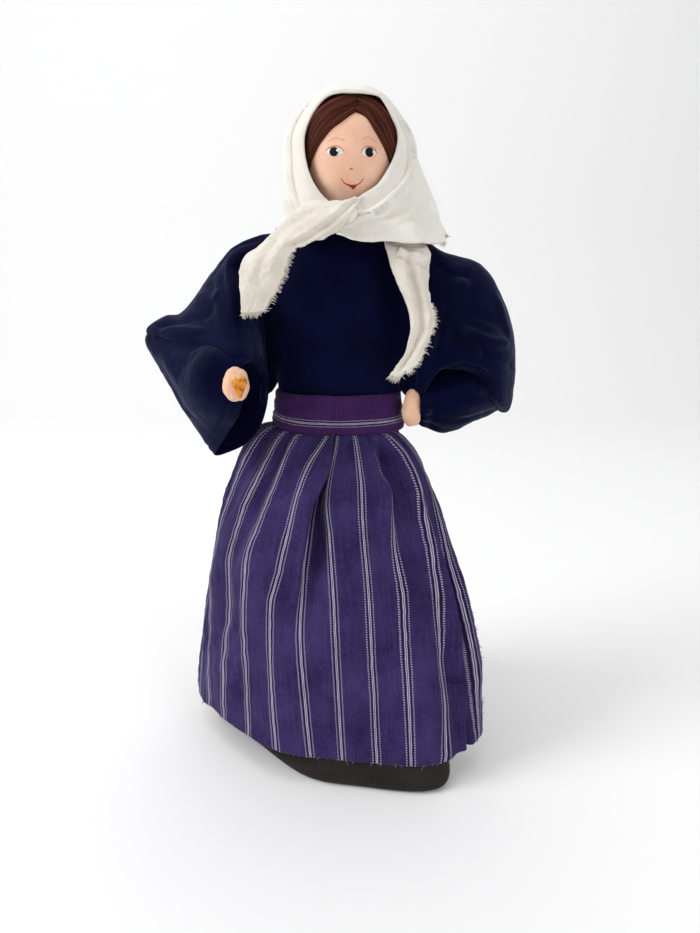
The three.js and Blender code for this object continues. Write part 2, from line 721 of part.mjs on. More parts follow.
const rightUpperSleeve = [
  { at: arms.right.shoulder, corners: [[7.4, 0, 9.9], [8.5, -12.6, -2], [2.1, 0, -16.5], [8.5, 12.6, -2]] },
  { at: arms.right.shoulder, corners: [[-9, 0, 6.5], [-8, -13.5, -13], [2.3, -1, -30], [-8, 13.5, -13]] },
  { at: arms.right.elbow, corners: [[7.7, -1, 15.4], [17, -17, 9.5], [33, -6, -1.5], [16, 11.5, 9]] },
  { at: arms.right.elbow, corners: [[-7, 2, 8.7], [8, -16.5, 7.5], [31, -9, -2], [8, 12.5, 6]] },
];
const rightLowerSleeve = [
  { at: arms.right.elbow, corners: [[-0.3, -4.2, 4.3], [-5.6, 0, 1.2], [0.3, 4.4, -4.5], [5.9, 0, -1.3]] },
  { at: arms.right.elbow, corners: [[4.5, -6.5, 5.8], [-1.5, -9, -3], [2, -3, -11.5], [10.5, -1, -4]] },
  { at: arms.right.elbow, corners: [[14, -19.5, 4.3], [8.5, -20, -11], [13.5, -9, -26], [27, -8, -11]] },
  { at: arms.right.wrist, corners: [[-0.5, 0.5, 7], [-9, 7.5, -12], [-8.5, 22, -32], [9.5, 26, -17]] },
];
const leftUpperSleeve = [
  { at: arms.left.shoulder, corners: [[-7.4, 0, 9.9], [-8.5, -12.6, -2], [-2.1, 0, -16.5], [-8.5, 13, -2]] },
  { at: arms.left.shoulder, corners: [[15.5, 2, 4], [10, -13, -10], [-2.5, -1, -31], [10, 17, -11]] },
  { at: arms.left.elbow, corners: [[3, -10, 32.5], [-5, -29, 20], [-26, -20, 5], [-5, 6, 18]] },
  { at: arms.left.elbow, corners: [[10.5, -7, 13], [1, -28, 10], [-23.5, -20, 5.5], [-2, 11, 6]] },
  { at: arms.left.elbow, corners: [[9, -4, -17], [3.5, -22, 0], [-19, -18, 8], [-6, 12.5, -5.5]] },
  { at: arms.left.elbow, corners: [[-8, -8, -24.5], [1.5, -17.5, -9.5], [-14, -16, 9], [-17, 4.5, -6]] },
];
const leftLowerSleeve = [
  { at: arms.left.elbow, corners: [[-3.6, -3.2, 2], [3.6, -3.2, 0.5], [3, 2.6, -2], [-3.6, 3.2, -0.5]] },
  { at: arms.left.elbow, corners: [[-6.5, -7, 3.4], [1, -12, -4], [-5.5, -5.5, -14], [-11, -0.5, -3.5]] },
  { at: arms.left.wrist, corners: [[11.5, 11, 14.5], [17.5, 4.5, 2], [11.5, 10, -10.5], [6, 16.5, 2]] },
  { at: arms.left.wrist, corners: [[4.5, 4.3, 9.5], [9, -0.5, 1.5], [4.5, 4.3, -8.5], [0.3, 8.5, 1.5]] },
  { at: arms.left.wrist, corners: [[0.2, 0.2, 6.2], [3.2, -2.9, 0], [0.2, 0.2, -6.4], [-2.9, 3.2, 0]] },
];

// Wrapped padding on a limb swells in the middle and tapers to both ends: shares of its radius and length
const paddingShape = [
  [0, 0], [0.62, 0], [0.9, 0.08], [1, 0.35], [0.97, 0.65], [0.86, 0.93], [0.6, 1], [0, 1],
];

function padding(from, to, radius) {
  const axis = to.clone().sub(from);
  const length = axis.length();
  const profilePoints = paddingShape.map(([wide, along]) => new THREE.Vector2(radius * wide, length * along));
  const limb = new THREE.LatheGeometry(profilePoints, 14);
  const turn = new THREE.Quaternion();
  turn.setFromUnitVectors(new THREE.Vector3(0, 1, 0), axis.normalize());
  limb.applyQuaternion(turn);
  limb.translate(from.x, from.y, from.z);
  return limb;
}

function hand(side) {
  const { elbow, wrist, hand: palm } = arms[side];
  const ball = new THREE.SphereGeometry(1, 14, 10);
  ball.scale(...handHalf[side]).translate(...palm);
  const axis = point(wrist).sub(point(elbow)).normalize();
  const into = point(wrist).addScaledVector(axis, wristLength + GAP);
  const tools = [rod(point(elbow), into, wireBore)];
  if (side === 'right') tools.push(peg(GAP));
  return cut(ball, ...tools);
}

// The wedge stuck in the right hand, facing the front. Extra widens it for its pocket.
function peg(extra) {
  const half = pegSide / 2 + extra;
  const corners = [[-half, half], [half, half], [extra / 2, -half - pegPoint]];
  const shape = new THREE.Shape(corners.map((p) => new THREE.Vector2(...p)));
  const wedge = new THREE.ExtrudeGeometry(shape, { depth: pegDepth + extra, bevelEnabled: false });
  wedge.rotateX(Math.PI / 2);
  const [x, y, z] = arms.right.hand;
  const back = y - handHalf.right[1] + pegDepth - pegFromPalm.proud + extra;
  return wedge.translate(x + pegFromPalm.x, back, z + pegFromPalm.z);
}

function addArm(side) {
  const { shoulder, elbow, wrist } = arms[side];
  const shoulderAt = point(shoulder);
  const elbowAt = point(elbow);
  const wristAt = point(wrist);
  const upper = elbowAt.clone().sub(shoulderAt).normalize();
  const fore = wristAt.clone().sub(elbowAt).normalize();
  const along = (start, axis, distance) => start.clone().addScaledVector(axis, distance);
  const upperLength = elbowAt.distanceTo(shoulderAt);
  const foreLength = wristAt.distanceTo(elbowAt);

  const wire = (from, to) => rod(from, to, wireRadius, 10);
  const upperWire = wire(along(shoulderAt, upper, wireJointGap), along(elbowAt, upper, -elbowWireGap));
  const foreWire = wire(along(elbowAt, fore, elbowWireGap), along(wristAt, fore, wristLength));
  add(`${side}_upper_arm_wire`, upperWire, steelWire);
  add(`${side}_forearm_wire`, foreWire, steelWire);

  const through = rod(along(shoulderAt, upper, -wristLength), along(elbowAt, upper, wristLength), wireBore);
  const upperPad = padding(
    along(shoulderAt, upper, shoulderPaddingStart),
    along(shoulderAt, upper, upperLength - elbowPaddingStart),
    upperPaddingRadius,
  );
  add(`${side}_upper_arm_padding`, cut(upperPad, through), wadding);
  const forePad = padding(
    along(elbowAt, fore, elbowPaddingStart),
    along(elbowAt, fore, foreLength - GAP),
    forearmPaddingRadius,
  );
  const foreThrough = rod(elbowAt, along(wristAt, fore, wristLength), wireBore);
  add(`${side}_forearm_padding`, cut(forePad, foreThrough), wadding);
  add(`${side}_hand`, hand(side), handFelt);
}

function shoulderWire() {
  const [right, left] = [arms.right.shoulder, arms.left.shoulder].map(point);
  const inwards = new THREE.Vector3(wireJointGap, 0, 0);
  return rod(right.add(inwards), left.sub(inwards), wireRadius, 10);
}

// Body
add('base_sole', baseSole(), felt);
add('base_board', baseBoard(), boardWood);
add('spine_dowel', spineDowel(), dowelWood);
add('skirt_stuffing', skirtStuffing(), wadding);
add('skirt', skirt(), skirtWool);
add('apron', apron(), apronCotton);
add('waistband', waistband(), bandCotton);
add('torso_stuffing', torsoStuffing(), wadding);
add('bodice', bodice(), blouseCotton);
add('neck', neck(), skinJersey);
add('shoulder_wire', shoulderWire(), steelWire);

// Head
add('head', head(), skinJersey);
add('hair_right', hairHalf(-1), hairThread);
add('hair_left', hairHalf(1), hairThread);
add('kerchief_hood', kerchiefHood(), kerchiefLinen);
add('kerchief_knot', kerchiefKnot(), kerchiefLinen);
add('kerchief_drape', kerchiefDrape(), kerchiefLinen);
add('kerchief_tail_right', rightTail(), kerchiefLinen);
add('kerchief_tail_left', leftTail(), kerchiefLinen);

// Arms
addArm('right');
addArm('left');
add('right_hand_peg', peg(0), pegWood);
add('right_sleeve_upper', sleeve(rightUpperSleeve, 1), blouseCotton);
add('right_sleeve_lower', sleeve(rightLowerSleeve, 1), blouseCotton);
add('left_sleeve_upper', sleeve(leftUpperSleeve, -1), blouseCotton);
add('left_sleeve_lower', sleeve(leftLowerSleeve, -1), blouseCotton);

export default doll;
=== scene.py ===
# A dressed costume doll on a cloth-covered board: cloth, stitching, hair, face and finish.
# Shapes are written in millimetres and turned into metres when a piece is made.
# The front is -Y, and "right" and "left" are the doll's own: its right hand is on the -X side.
import math

import bpy
import numpy as np
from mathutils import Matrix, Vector


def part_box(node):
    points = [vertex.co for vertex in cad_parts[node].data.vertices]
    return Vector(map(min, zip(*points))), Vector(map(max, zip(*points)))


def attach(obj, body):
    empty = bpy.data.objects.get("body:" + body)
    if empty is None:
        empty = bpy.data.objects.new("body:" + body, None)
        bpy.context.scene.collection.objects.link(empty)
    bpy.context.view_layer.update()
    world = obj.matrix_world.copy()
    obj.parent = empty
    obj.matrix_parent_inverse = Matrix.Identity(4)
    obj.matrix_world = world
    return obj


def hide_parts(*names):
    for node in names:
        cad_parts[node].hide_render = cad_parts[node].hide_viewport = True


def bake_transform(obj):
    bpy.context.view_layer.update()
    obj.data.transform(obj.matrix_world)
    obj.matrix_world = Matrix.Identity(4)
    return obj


MM = 0.001
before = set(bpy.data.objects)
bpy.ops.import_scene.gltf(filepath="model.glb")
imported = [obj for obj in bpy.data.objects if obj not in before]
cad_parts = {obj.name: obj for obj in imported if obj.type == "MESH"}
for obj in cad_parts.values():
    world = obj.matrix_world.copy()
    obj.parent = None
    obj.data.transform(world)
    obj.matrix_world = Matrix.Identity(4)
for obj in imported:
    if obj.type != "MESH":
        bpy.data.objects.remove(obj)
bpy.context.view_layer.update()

# Sizes shared with the construction
GAP = 0.3
foot_outline = [
    (-54, 2), (-34, -21), (-11.5, -42), (9, -47), (33.6, -49.4), (41.3, -45.3),
    (43.5, -20), (42, 8), (34, 34), (8, 46), (-26, 44), (-50, 26),
]
waist_height, band_height, apron_hem_height = 130.0, 13.8, 12.0
waist_half_width, waist_half_depth = 22.8, 16.0
skirt_cloth, apron_cloth, band_cloth, blouse_cloth, kerchief_cloth = 1.0, 0.8, 1.2, 0.8, 0.9
skirt_flare = 0.8
neck_top = 203.0
shoulder_half_width = 28.0
head_x, head_bottom, head_height = 5.0, 209.0, 36.0
head_half_width, head_half_depth = 17.0, 18.0
head_top = head_bottom + head_height
hood_centre = (4.5, 2.0)
hood_half = (23.0, 22.0)
hood_equator, hood_rise, hood_bottom = 228.0, 21.7, 205.7
knot_centre = np.array([1.5, -22.9, 206.0])
arms = {
    "right": dict(shoulder=(-31, 0, 189), elbow=(-66, 3, 158), wrist=(-38, -36, 153.5), hand=(-33, -40, 152)),
    "left": dict(shoulder=(31, 0, 189), elbow=(57, 16, 150), wrist=(33, -7, 141), hand=(27.8, -11, 139)),
}


# Curves and surfaces
def lerp(a, b, t):
    return a + (b - a) * t


def smooth(low, high, x):
    t = np.clip((np.asarray(x, float) - low) / (high - low), 0, 1)
    return t * t * (3 - 2 * t)


def bell(x, middle, reach):
    return np.exp(-(((np.asarray(x, float) - middle) / reach) ** 2))


def unit(v):
    return v / np.maximum(np.linalg.norm(v, axis=-1, keepdims=True), 1e-9)


def full_turn(columns):
    """Angles in degrees all the way round, as a column."""
    return np.linspace(0, 360, columns, endpoint=False)[:, None]


def from_right(degrees):
    """Angle away from the doll's right side, from -180 to 180."""
    return (degrees + 360) % 360 - 180


def profile(stations):
    """Smooth one-dimensional curve through (place, value) stations."""
    xs, ys = np.array(stations, float).T
    n = len(xs)
    last, first = np.minimum(np.arange(n) + 1, n - 1), np.maximum(np.arange(n) - 1, 0)
    slope = (ys[last] - ys[first]) / (xs[last] - xs[first])

    def at(x):
        x = np.clip(np.asarray(x, float), xs[0], xs[-1])
        i = np.clip(np.searchsorted(xs, x, "right") - 1, 0, n - 2)
        h = xs[i + 1] - xs[i]
        t = (x - xs[i]) / h
        rise = ys[i + 1] - ys[i]
        m0, m1 = slope[i] * h, slope[i + 1] * h
        return ys[i] + m0 * t + (3 * rise - 2 * m0 - m1) * t**2 + (m0 + m1 - 2 * rise) * t**3

    return at


def curve(points, closed=False):
    """Smooth curve through points, for t from 0 to 1."""
    p = np.array(points, float)
    if closed:
        ring = np.concatenate([p[-1:], p, p[:2]])
        spans = len(p)
    else:
        ring = np.concatenate([2 * p[:1] - p[1:2], p, 2 * p[-1:] - p[-2:-1]])
        spans = len(p) - 1
    gaps = np.maximum(np.linalg.norm(np.diff(ring, axis=0), axis=-1, keepdims=True) ** 0.5, 1e-4)

    def at(t):
        x = np.asarray(t, float) * spans
        if not closed:
            x = np.clip(x, 0, spans - 1e-9)
        i = np.floor(x).astype(int)
        w = (x - i).reshape(x.shape + (1,) * (p.ndim - 1))
        i = i % spans
        p0, p1, p2, p3 = ring[i], ring[i + 1], ring[i + 2], ring[i + 3]
        d0, d1, d2 = gaps[i], gaps[i + 1], gaps[i + 2]
        m1 = ((p1 - p0) / d0 - (p2 - p0) / (d0 + d1) + (p2 - p1) / d1) * d1
        m2 = ((p2 - p1) / d1 - (p3 - p1) / (d1 + d2) + (p3 - p2) / d2) * d1
        return p1 + m1 * w + (3 * (p2 - p1) - 2 * m1 - m2) * w**2 + (m1 + m2 - 2 * (p2 - p1)) * w**3

    return at


def polar(outline):
    """Radius of a closed outline at an angle in degrees."""
    p = curve(outline, True)(np.linspace(0, 1, 721)[:-1])
    angle, radius = np.degrees(np.arctan2(p[:, 1], p[:, 0])), np.hypot(p[:, 0], p[:, 1])
    order = np.argsort(angle)

    def at(degrees):
        wrapped = (np.asarray(degrees, float) + 180) % 360 - 180
        return np.interp(wrapped, angle[order], radius[order], period=360)

    return at


def ellipse(half_width, half_depth, degrees):
    a = np.radians(degrees)
    return 1 / np.hypot(np.cos(a) / half_width, np.sin(a) / half_depth)


def around(radius, degrees, z, centre=(0.0, 0.0)):
    a = np.radians(degrees)
    x, y, z = np.broadcast_arrays(centre[0] + radius * np.cos(a), centre[1] + radius * np.sin(a), z)
    return np.stack([x, y, z], -1)


def waves(seed, count, shortest, longest):
    """Smooth random relief over a flat place (u, v), about -1 to 1, with waves between two lengths."""
    rng = np.random.default_rng(seed)
    lengths = np.exp(rng.uniform(math.log(shortest), math.log(longest), count))
    turns = rng.uniform(0, math.tau, count)
    phases = rng.uniform(0, math.tau, count)
    weights = lengths / np.sqrt((lengths**2).sum())

    def at(u, v):
        total = 0
        for length, turn, phase, weight in zip(lengths, turns, phases, weights):
            k = math.tau / length
            total = total + weight * np.cos(k * (math.cos(turn) * u + math.sin(turn) * v) + phase)
        return total

    return at


# Meshes
def normals_of(grid, closed=False):
    if closed:
        along = np.roll(grid, -1, 0) - np.roll(grid, 1, 0)
    else:
        along = np.gradient(grid, axis=0)
    down = np.gradient(grid, axis=1)
    return unit(np.cross(along, down))


def link(name, data):
    obj = bpy.data.objects.new(name, data)
    bpy.context.scene.collection.objects.link(obj)
    return obj


def mesh_piece(name, points, faces, look, uvs=None):
    """Mesh object from points in millimetres; uvs holds one pair for each corner of each face."""
    mesh = bpy.data.meshes.new(name)
    mesh.from_pydata((points * MM).tolist(), [], faces)
    if uvs is not None:
        layer = mesh.uv_layers.new(name="cloth")
        layer.data.foreach_set("uv", np.asarray(uvs, np.float32).ravel())
    mesh.polygons.foreach_set("use_smooth", np.ones(len(mesh.polygons), bool))
    mesh.materials.append(look)
    mesh.validate()
    return link(name, mesh)


def grid_faces(columns, rows, closed, flip, start=0, ring=False):
    """Quads of a grid, and the (column, row) of their corners.

    The columns of a closed grid run round, and so do the rows of a ring."""
    across, down = columns - (not closed), rows - (not ring)
    i, j = (a.ravel() for a in np.meshgrid(np.arange(across), np.arange(down), indexing="ij"))
    turn = ((0, 1), (1, 1), (1, 0), (0, 0)) if flip else ((0, 0), (1, 0), (1, 1), (0, 1))
    corners = np.stack([np.stack([i + a, j + b], -1) for a, b in turn], 1)
    return start + corners[..., 0] % columns * rows + corners[..., 1] % rows, corners


def cloth_uv(grid, closed=False):
    """Place on the cloth in millimetres, from the lengths along the grid's lines."""
    ring = np.concatenate([grid, grid[:1]]) if closed else grid
    u = np.zeros(ring.shape[:2])
    u[1:] = np.cumsum(np.linalg.norm(np.diff(ring, axis=0), axis=-1), 0)
    v = np.zeros(ring.shape[:2])
    v[:, 1:] = np.cumsum(np.linalg.norm(np.diff(ring, axis=1), axis=-1), 1)
    return np.stack([u.mean(1, keepdims=True) + 0 * u, v.mean(0, keepdims=True) + 0 * v], -1)


def cloth_piece(name, grid, thickness, look, closed=False, uv=None, outward=1):
    """Closed shell of cloth: grid is its outer face, and its rim stands out by half its thickness."""
    columns, rows = grid.shape[:2]
    uv = cloth_uv(grid, closed) if uv is None else uv
    n = normals_of(grid, closed) * outward
    inner = grid - n * thickness
    middle = grid - n * thickness / 2
    count = columns * rows
    points = [grid.reshape(-1, 3), inner.reshape(-1, 3)]
    outer_faces, outer_corners = grid_faces(columns, rows, closed, outward < 0)
    inner_faces, inner_corners = grid_faces(columns, rows, closed, outward > 0, count)
    faces = [outer_faces, inner_faces]
    uvs = [uv[c[..., 0], c[..., 1]] for c in (outer_corners, inner_corners)]
    index = np.arange(count).reshape(columns, rows)
    total = 2 * count

    def rim(line, edge_points, edge_uv, out, flip, loop):
        nonlocal total
        k = len(line)
        points.append(edge_points + out * thickness / 2)
        mid = total + np.arange(k)
        total += k
        a = np.arange(k if loop else k - 1)
        b = (a + 1) % k
        for near, far in ((line, mid), (mid, line + count)):
            quad = np.stack([near[a], near[b], far[b], far[a]], 1)
            faces.append(quad[:, ::-1] if flip else quad)
            pair = np.stack([edge_uv[a], edge_uv[a + 1], edge_uv[a + 1], edge_uv[a]], 1)
            uvs.append(pair[:, ::-1] if flip else pair)

    turned = outward > 0
    rim(index[:, 0], middle[:, 0], uv[:, 0], unit(middle[:, 0] - middle[:, 1]), turned, closed)
    rim(index[:, -1], middle[:, -1], uv[:, -1], unit(middle[:, -1] - middle[:, -2]), not turned, closed)
    if not closed:
        rim(index[0], middle[0], uv[0], unit(middle[0] - middle[1]), not turned, False)
        rim(index[-1], middle[-1], uv[-1], unit(middle[-1] - middle[-2]), turned, False)
    all_faces = np.concatenate(faces).tolist()
    return mesh_piece(name, np.concatenate(points), all_faces, look, np.concatenate(uvs))


def crease(grid, normals, line, depth, width, lip=0.0, ends=0.2):
    """Relief of a fold that follows a line through points: a groove, or a ridge where depth is negative."""
    t = np.linspace(0, 1, 60)
    nearest = np.full(grid.shape[:-1], 1e9)
    share = np.zeros(grid.shape[:-1])
    for place, point in zip(t, curve(line)(t)):
        away = grid - point
        off = (away * normals).sum(-1)
        distance = np.sqrt(np.maximum((away**2).sum(-1) - 0.85 * off**2, 0))
        share = np.where(distance < nearest, place, share)
        nearest = np.minimum(distance, nearest)
    fade = smooth(0, ends, share) * smooth(1, 1 - ends, share)
    return fade * (lip * bell(nearest, 1.8 * width, width) - depth * bell(nearest, 0, width))


def threads_piece(name, roots, ways, length, thickness, look, seed):
    """Loose threads, each a thin three-sided tube that leaves its root along its way and wavers."""
    rng = np.random.default_rng(seed)
    count, rings, sides = len(roots), 6, 3
    lengths = length * rng.uniform(0.35, 1.0, count)[:, None, None]
    wander = rng.normal(0, 0.3, (count, 1, 3))
    curl = rng.normal(0, 0.3, (count, 1, 3))
    s = np.linspace(-0.25, 1, rings)[None, :, None]
    path = roots[:, None] + lengths * (s * (ways[:, None] + wander) + s**2 * curl)
    along = unit(np.gradient(path, axis=1))
    side = unit(np.cross(along, rng.normal(0, 1, (count, 1, 3))))
    up = np.cross(along, side)
    turn = math.tau * np.arange(sides) / sides
    radius = thickness / 2 * (1 - 0.5 * np.maximum(s, 0)) * rng.uniform(0.7, 1.2, (count, 1, 1))
    points = path[:, :, None] + radius[:, :, None] * (
        np.cos(turn)[:, None] * side[:, :, None] + np.sin(turn)[:, None] * up[:, :, None]
    )
    first = (np.arange(count) * rings * sides)[:, None]
    faces = []
    for k in range(rings - 1):
        for i in range(sides):
            a, b = k * sides + i, k * sides + (i + 1) % sides
            faces.append(first + np.array([a, b, b + sides, a + sides]))
    quads = np.concatenate(faces).tolist()
    last = (rings - 1) * sides
    caps = np.concatenate([first + np.array([2, 1, 0]), first + last + np.array([0, 1, 2])]).tolist()
    return mesh_piece(name, points.reshape(-1, 3), quads + caps, look)


def fray(grid, at_side, at_end, back):
    """Roots of loose threads on a grid's last column and last row, and the way the cloth runs out there."""
    roots = np.concatenate([grid[-1, at_side], grid[at_end, -1]])
    inside = np.concatenate([grid[-1 - back, at_side], grid[at_end, -1 - back]])
    return roots, unit(roots - inside)


def closed_piece(name, grid, look, uv=None, outward=1):
    """Closed body from a grid of rings, each end drawn together in a fan."""
    columns, rows = grid.shape[:2]
    uv = cloth_uv(grid, True) if uv is None else uv
    faces, corners = grid_faces(columns, rows, True, outward < 0)
    uvs = uv[corners[..., 0], corners[..., 1]]
    points = np.concatenate([grid.reshape(-1, 3), grid[:, :1].mean(0), grid[:, -1:].mean(0)])
    index = np.arange(columns * rows).reshape(columns, rows)
    a = np.arange(columns)
    b = (a + 1) % columns
    triangles, corner_uv = [], []
    for row, centre, flip in ((0, len(points) - 2, outward > 0), (rows - 1, len(points) - 1, outward < 0)):
        fan = np.stack([index[a, row], index[b, row], np.full(columns, centre)], 1)
        pair = np.stack([uv[a, row], uv[a + 1, row], (uv[a, row] + uv[a + 1, row]) / 2], 1)
        triangles.append(fan[:, ::-1] if flip else fan)
        corner_uv.append(pair[:, ::-1] if flip else pair)
    all_faces = faces.tolist() + [t for fan in triangles for t in fan.tolist()]
    all_uv = np.concatenate([uvs.reshape(-1, 2)] + [c.reshape(-1, 2) for c in corner_uv])
    return mesh_piece(name, points, all_faces, look, all_uv)


def hollow_piece(name, grid, look):
    """Closed body with a hole through it: both the columns and the rows of the grid run round."""
    # Each quad starts at its own column and row
    faces, corners = (np.roll(a, 1, 1) for a in grid_faces(*grid.shape[:2], True, True, ring=True))
    u = np.linalg.norm(grid[:1] - np.roll(grid, 1, 0)[:1], axis=-1).mean()
    v = np.linalg.norm(grid - np.roll(grid, 1, 1), axis=-1).mean()
    return mesh_piece(name, grid.reshape(-1, 3), faces.tolist(), look, corners * np.array([u, v]))


def sphere(columns, rows, top, wide, tall):
    """Directions all round a point, up to top degrees, and their places on the cloth."""
    a = np.radians(np.linspace(0, 360, columns + 1))[:, None]
    b = np.radians(np.linspace(-top, top, rows))[None]
    directions = np.stack([np.cos(a) * np.cos(b), np.sin(a) * np.cos(b), np.sin(b) + 0 * a], -1)
    return directions[:-1], np.stack([a * wide + 0 * b, b * tall + 0 * a], -1)


def fit(piece, body, slot, *nodes):
    """A piece rides on a body and stands for the nodes. Its slot is not used."""
    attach(piece, body)
    if nodes:
        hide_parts(*nodes)


# Materials
class Look:
    """One material: its shader, and short makers for the nodes that feed it."""

    def __init__(self, name, **shader):
        self.material = bpy.data.materials.new(name)
        self.material.use_nodes = True
        self.tree = self.material.node_tree
        self.shader = next(n for n in self.tree.nodes if n.type == "BSDF_PRINCIPLED")
        for key, value in shader.items():
            self.shader.inputs[key.replace("_", " ")].default_value = value

    def put(self, socket, value):
        if isinstance(value, bpy.types.NodeSocket):
            self.tree.links.new(value, socket)
        elif value is not None:
            socket.default_value = value

    def node(self, kind, inputs, **settings):
        node = self.tree.nodes.new(kind)
        for key, value in settings.items():
            setattr(node, key, value)
        for key, value in inputs.items():
            self.put(node.inputs[key], value)
        return node

    def math(self, operation, a, b=None, c=None):
        return self.node("ShaderNodeMath", {0: a, 1: b, 2: c}, operation=operation).outputs[0]

    def add(self, a, b):
        return self.math("ADD", a, b)

    def times(self, a, b, plus=None):
        return self.math("MULTIPLY", a, b) if plus is None else self.math("MULTIPLY_ADD", a, b, plus)

    def away(self, value, place):
        """Distance of a value from a place."""
        return self.math("ABSOLUTE", self.math("SUBTRACT", value, place))

    def sine(self, value, length):
        return self.math("SINE", self.times(value, math.tau / length))

    def mix(self, share, a, b):
        return self.node("ShaderNodeMix", {0: share, 6: a, 7: b}, data_type="RGBA").outputs[2]

    def place(self):
        """Place on the cloth in millimetres."""
        return self.node("ShaderNodeUVMap", {}, uv_map="cloth").outputs[0]

    def spot(self):
        """Place in the object's frame, in metres."""
        return self.node("ShaderNodeTexCoord", {}).outputs["Object"]

    def split(self, vector):
        node = self.node("ShaderNodeSeparateXYZ", {0: vector})
        return node.outputs[0], node.outputs[1]

    def stretch(self, vector, x, y, z=1.0):
        inputs = {"Vector": vector, "Scale": (x, y, z)}
        return self.node("ShaderNodeMapping", inputs).outputs[0]

    def noise(self, vector, scale, detail=2.0, rough=0.5):
        inputs = {"Vector": vector, "Scale": scale, "Detail": detail, "Roughness": rough}
        return self.node("ShaderNodeTexNoise", inputs).outputs[0]

    def streaks(self, place, x, y, detail=2.0, rough=0.5):
        """Noise drawn out over the cloth, by its scale along each side."""
        return self.noise(self.stretch(place, x, y), 1.0, detail, rough)

    def band(self, value, low, high, to_low=0.0, to_high=1.0):
        inputs = {0: value, 1: low, 2: high, 3: to_low, 4: to_high}
        return self.node("ShaderNodeMapRange", inputs, interpolation_type="SMOOTHSTEP").outputs[0]

    def bump(self, height, depth):
        """Relief of a depth in millimetres."""
        node = self.node("ShaderNodeBump", {"Height": height, "Distance": depth * MM})
        self.put(self.shader.inputs["Normal"], node.outputs[0])

    def colour(self, value):
        self.put(self.shader.inputs["Base Color"], value)

    def weave(self, place, pitch):
        """Height of a plain weave, 0 to 1, with threads a pitch apart."""
        u, v = self.split(place)
        return self.times(self.times(self.sine(u, 2 * pitch), self.sine(v, 2 * pitch)), 0.5, 0.5)


def rgb(r, g, b):
    """Linear colour from a screen colour of 0 to 255."""
    def line(c):
        c /= 255
        return c / 12.92 if c <= 0.04045 else ((c + 0.055) / 1.055) ** 2.4
    return (line(r), line(g), line(b), 1.0)


def woven(name, dark, light, pitch, depth, rough, sheen=0.0, level=0.2, contrast=0.45, tint=(1, 1, 1, 1)):
    """Plain woven cloth: threads a pitch apart, uneven along their length, between two colours."""
    look = Look(name, Roughness=rough, Sheen_Weight=sheen, Sheen_Roughness=0.4, Sheen_Tint=tint)
    look.shader.inputs["Specular IOR Level"].default_value = level
    place = look.place()
    threads = look.weave(place, pitch)
    across = look.streaks(place, 0.12, 1.6)
    along = look.streaks(place, 1.6, 0.12)
    uneven = look.times(look.add(across, along), 0.5)
    patches = look.noise(place, 0.09, 3.0)
    patchy = look.times(uneven, 0.4, look.times(patches, 0.8 - contrast))
    tone = look.times(threads, contrast, patchy)
    look.colour(look.mix(look.band(tone, 0.15, 0.95), dark, light))
    look.bump(look.add(threads, uneven), depth)
    return look.material


# Each cloth: its darkest and lightest colour, thread spacing, weave depth, roughness and sheen
skirt_look = woven(
    "skirt_wool", rgb(20, 18, 18), rgb(56, 51, 50), 0.55, 0.05, 0.95, 0.05, level=0.1, contrast=0.28,
)
blouse_look = woven(
    "blouse_cotton", rgb(1, 2, 18), rgb(8, 11, 50), 0.22, 0.012, 0.6, 0.13, level=0.03, contrast=0.2,
    tint=(0.5, 0.58, 1.0, 1.0),
)
kerchief_look = woven(
    "kerchief_cotton", rgb(222, 217, 207), rgb(246, 243, 236), 0.3, 0.015, 0.9, 0.1, contrast=0.2,
)
linen_look = woven(
    "kerchief_linen", rgb(204, 194, 178), rgb(244, 239, 230), 0.5, 0.045, 0.95, 0.1, contrast=0.16,
)
fray_look = woven("apron_fray", rgb(70, 52, 96), rgb(168, 140, 160), 0.4, 0.02, 0.9)
stuffing_look = woven("wadding", rgb(214, 208, 196), rgb(240, 236, 226), 1.6, 0.2, 1.0)


# A woven stripe, in millimetres from its middle: a white thread, a dark groove and a dotted line
white_thread_at, groove_at, dotted_line_at, dot_spacing = 0.26, 0.8, 1.42, 0.95


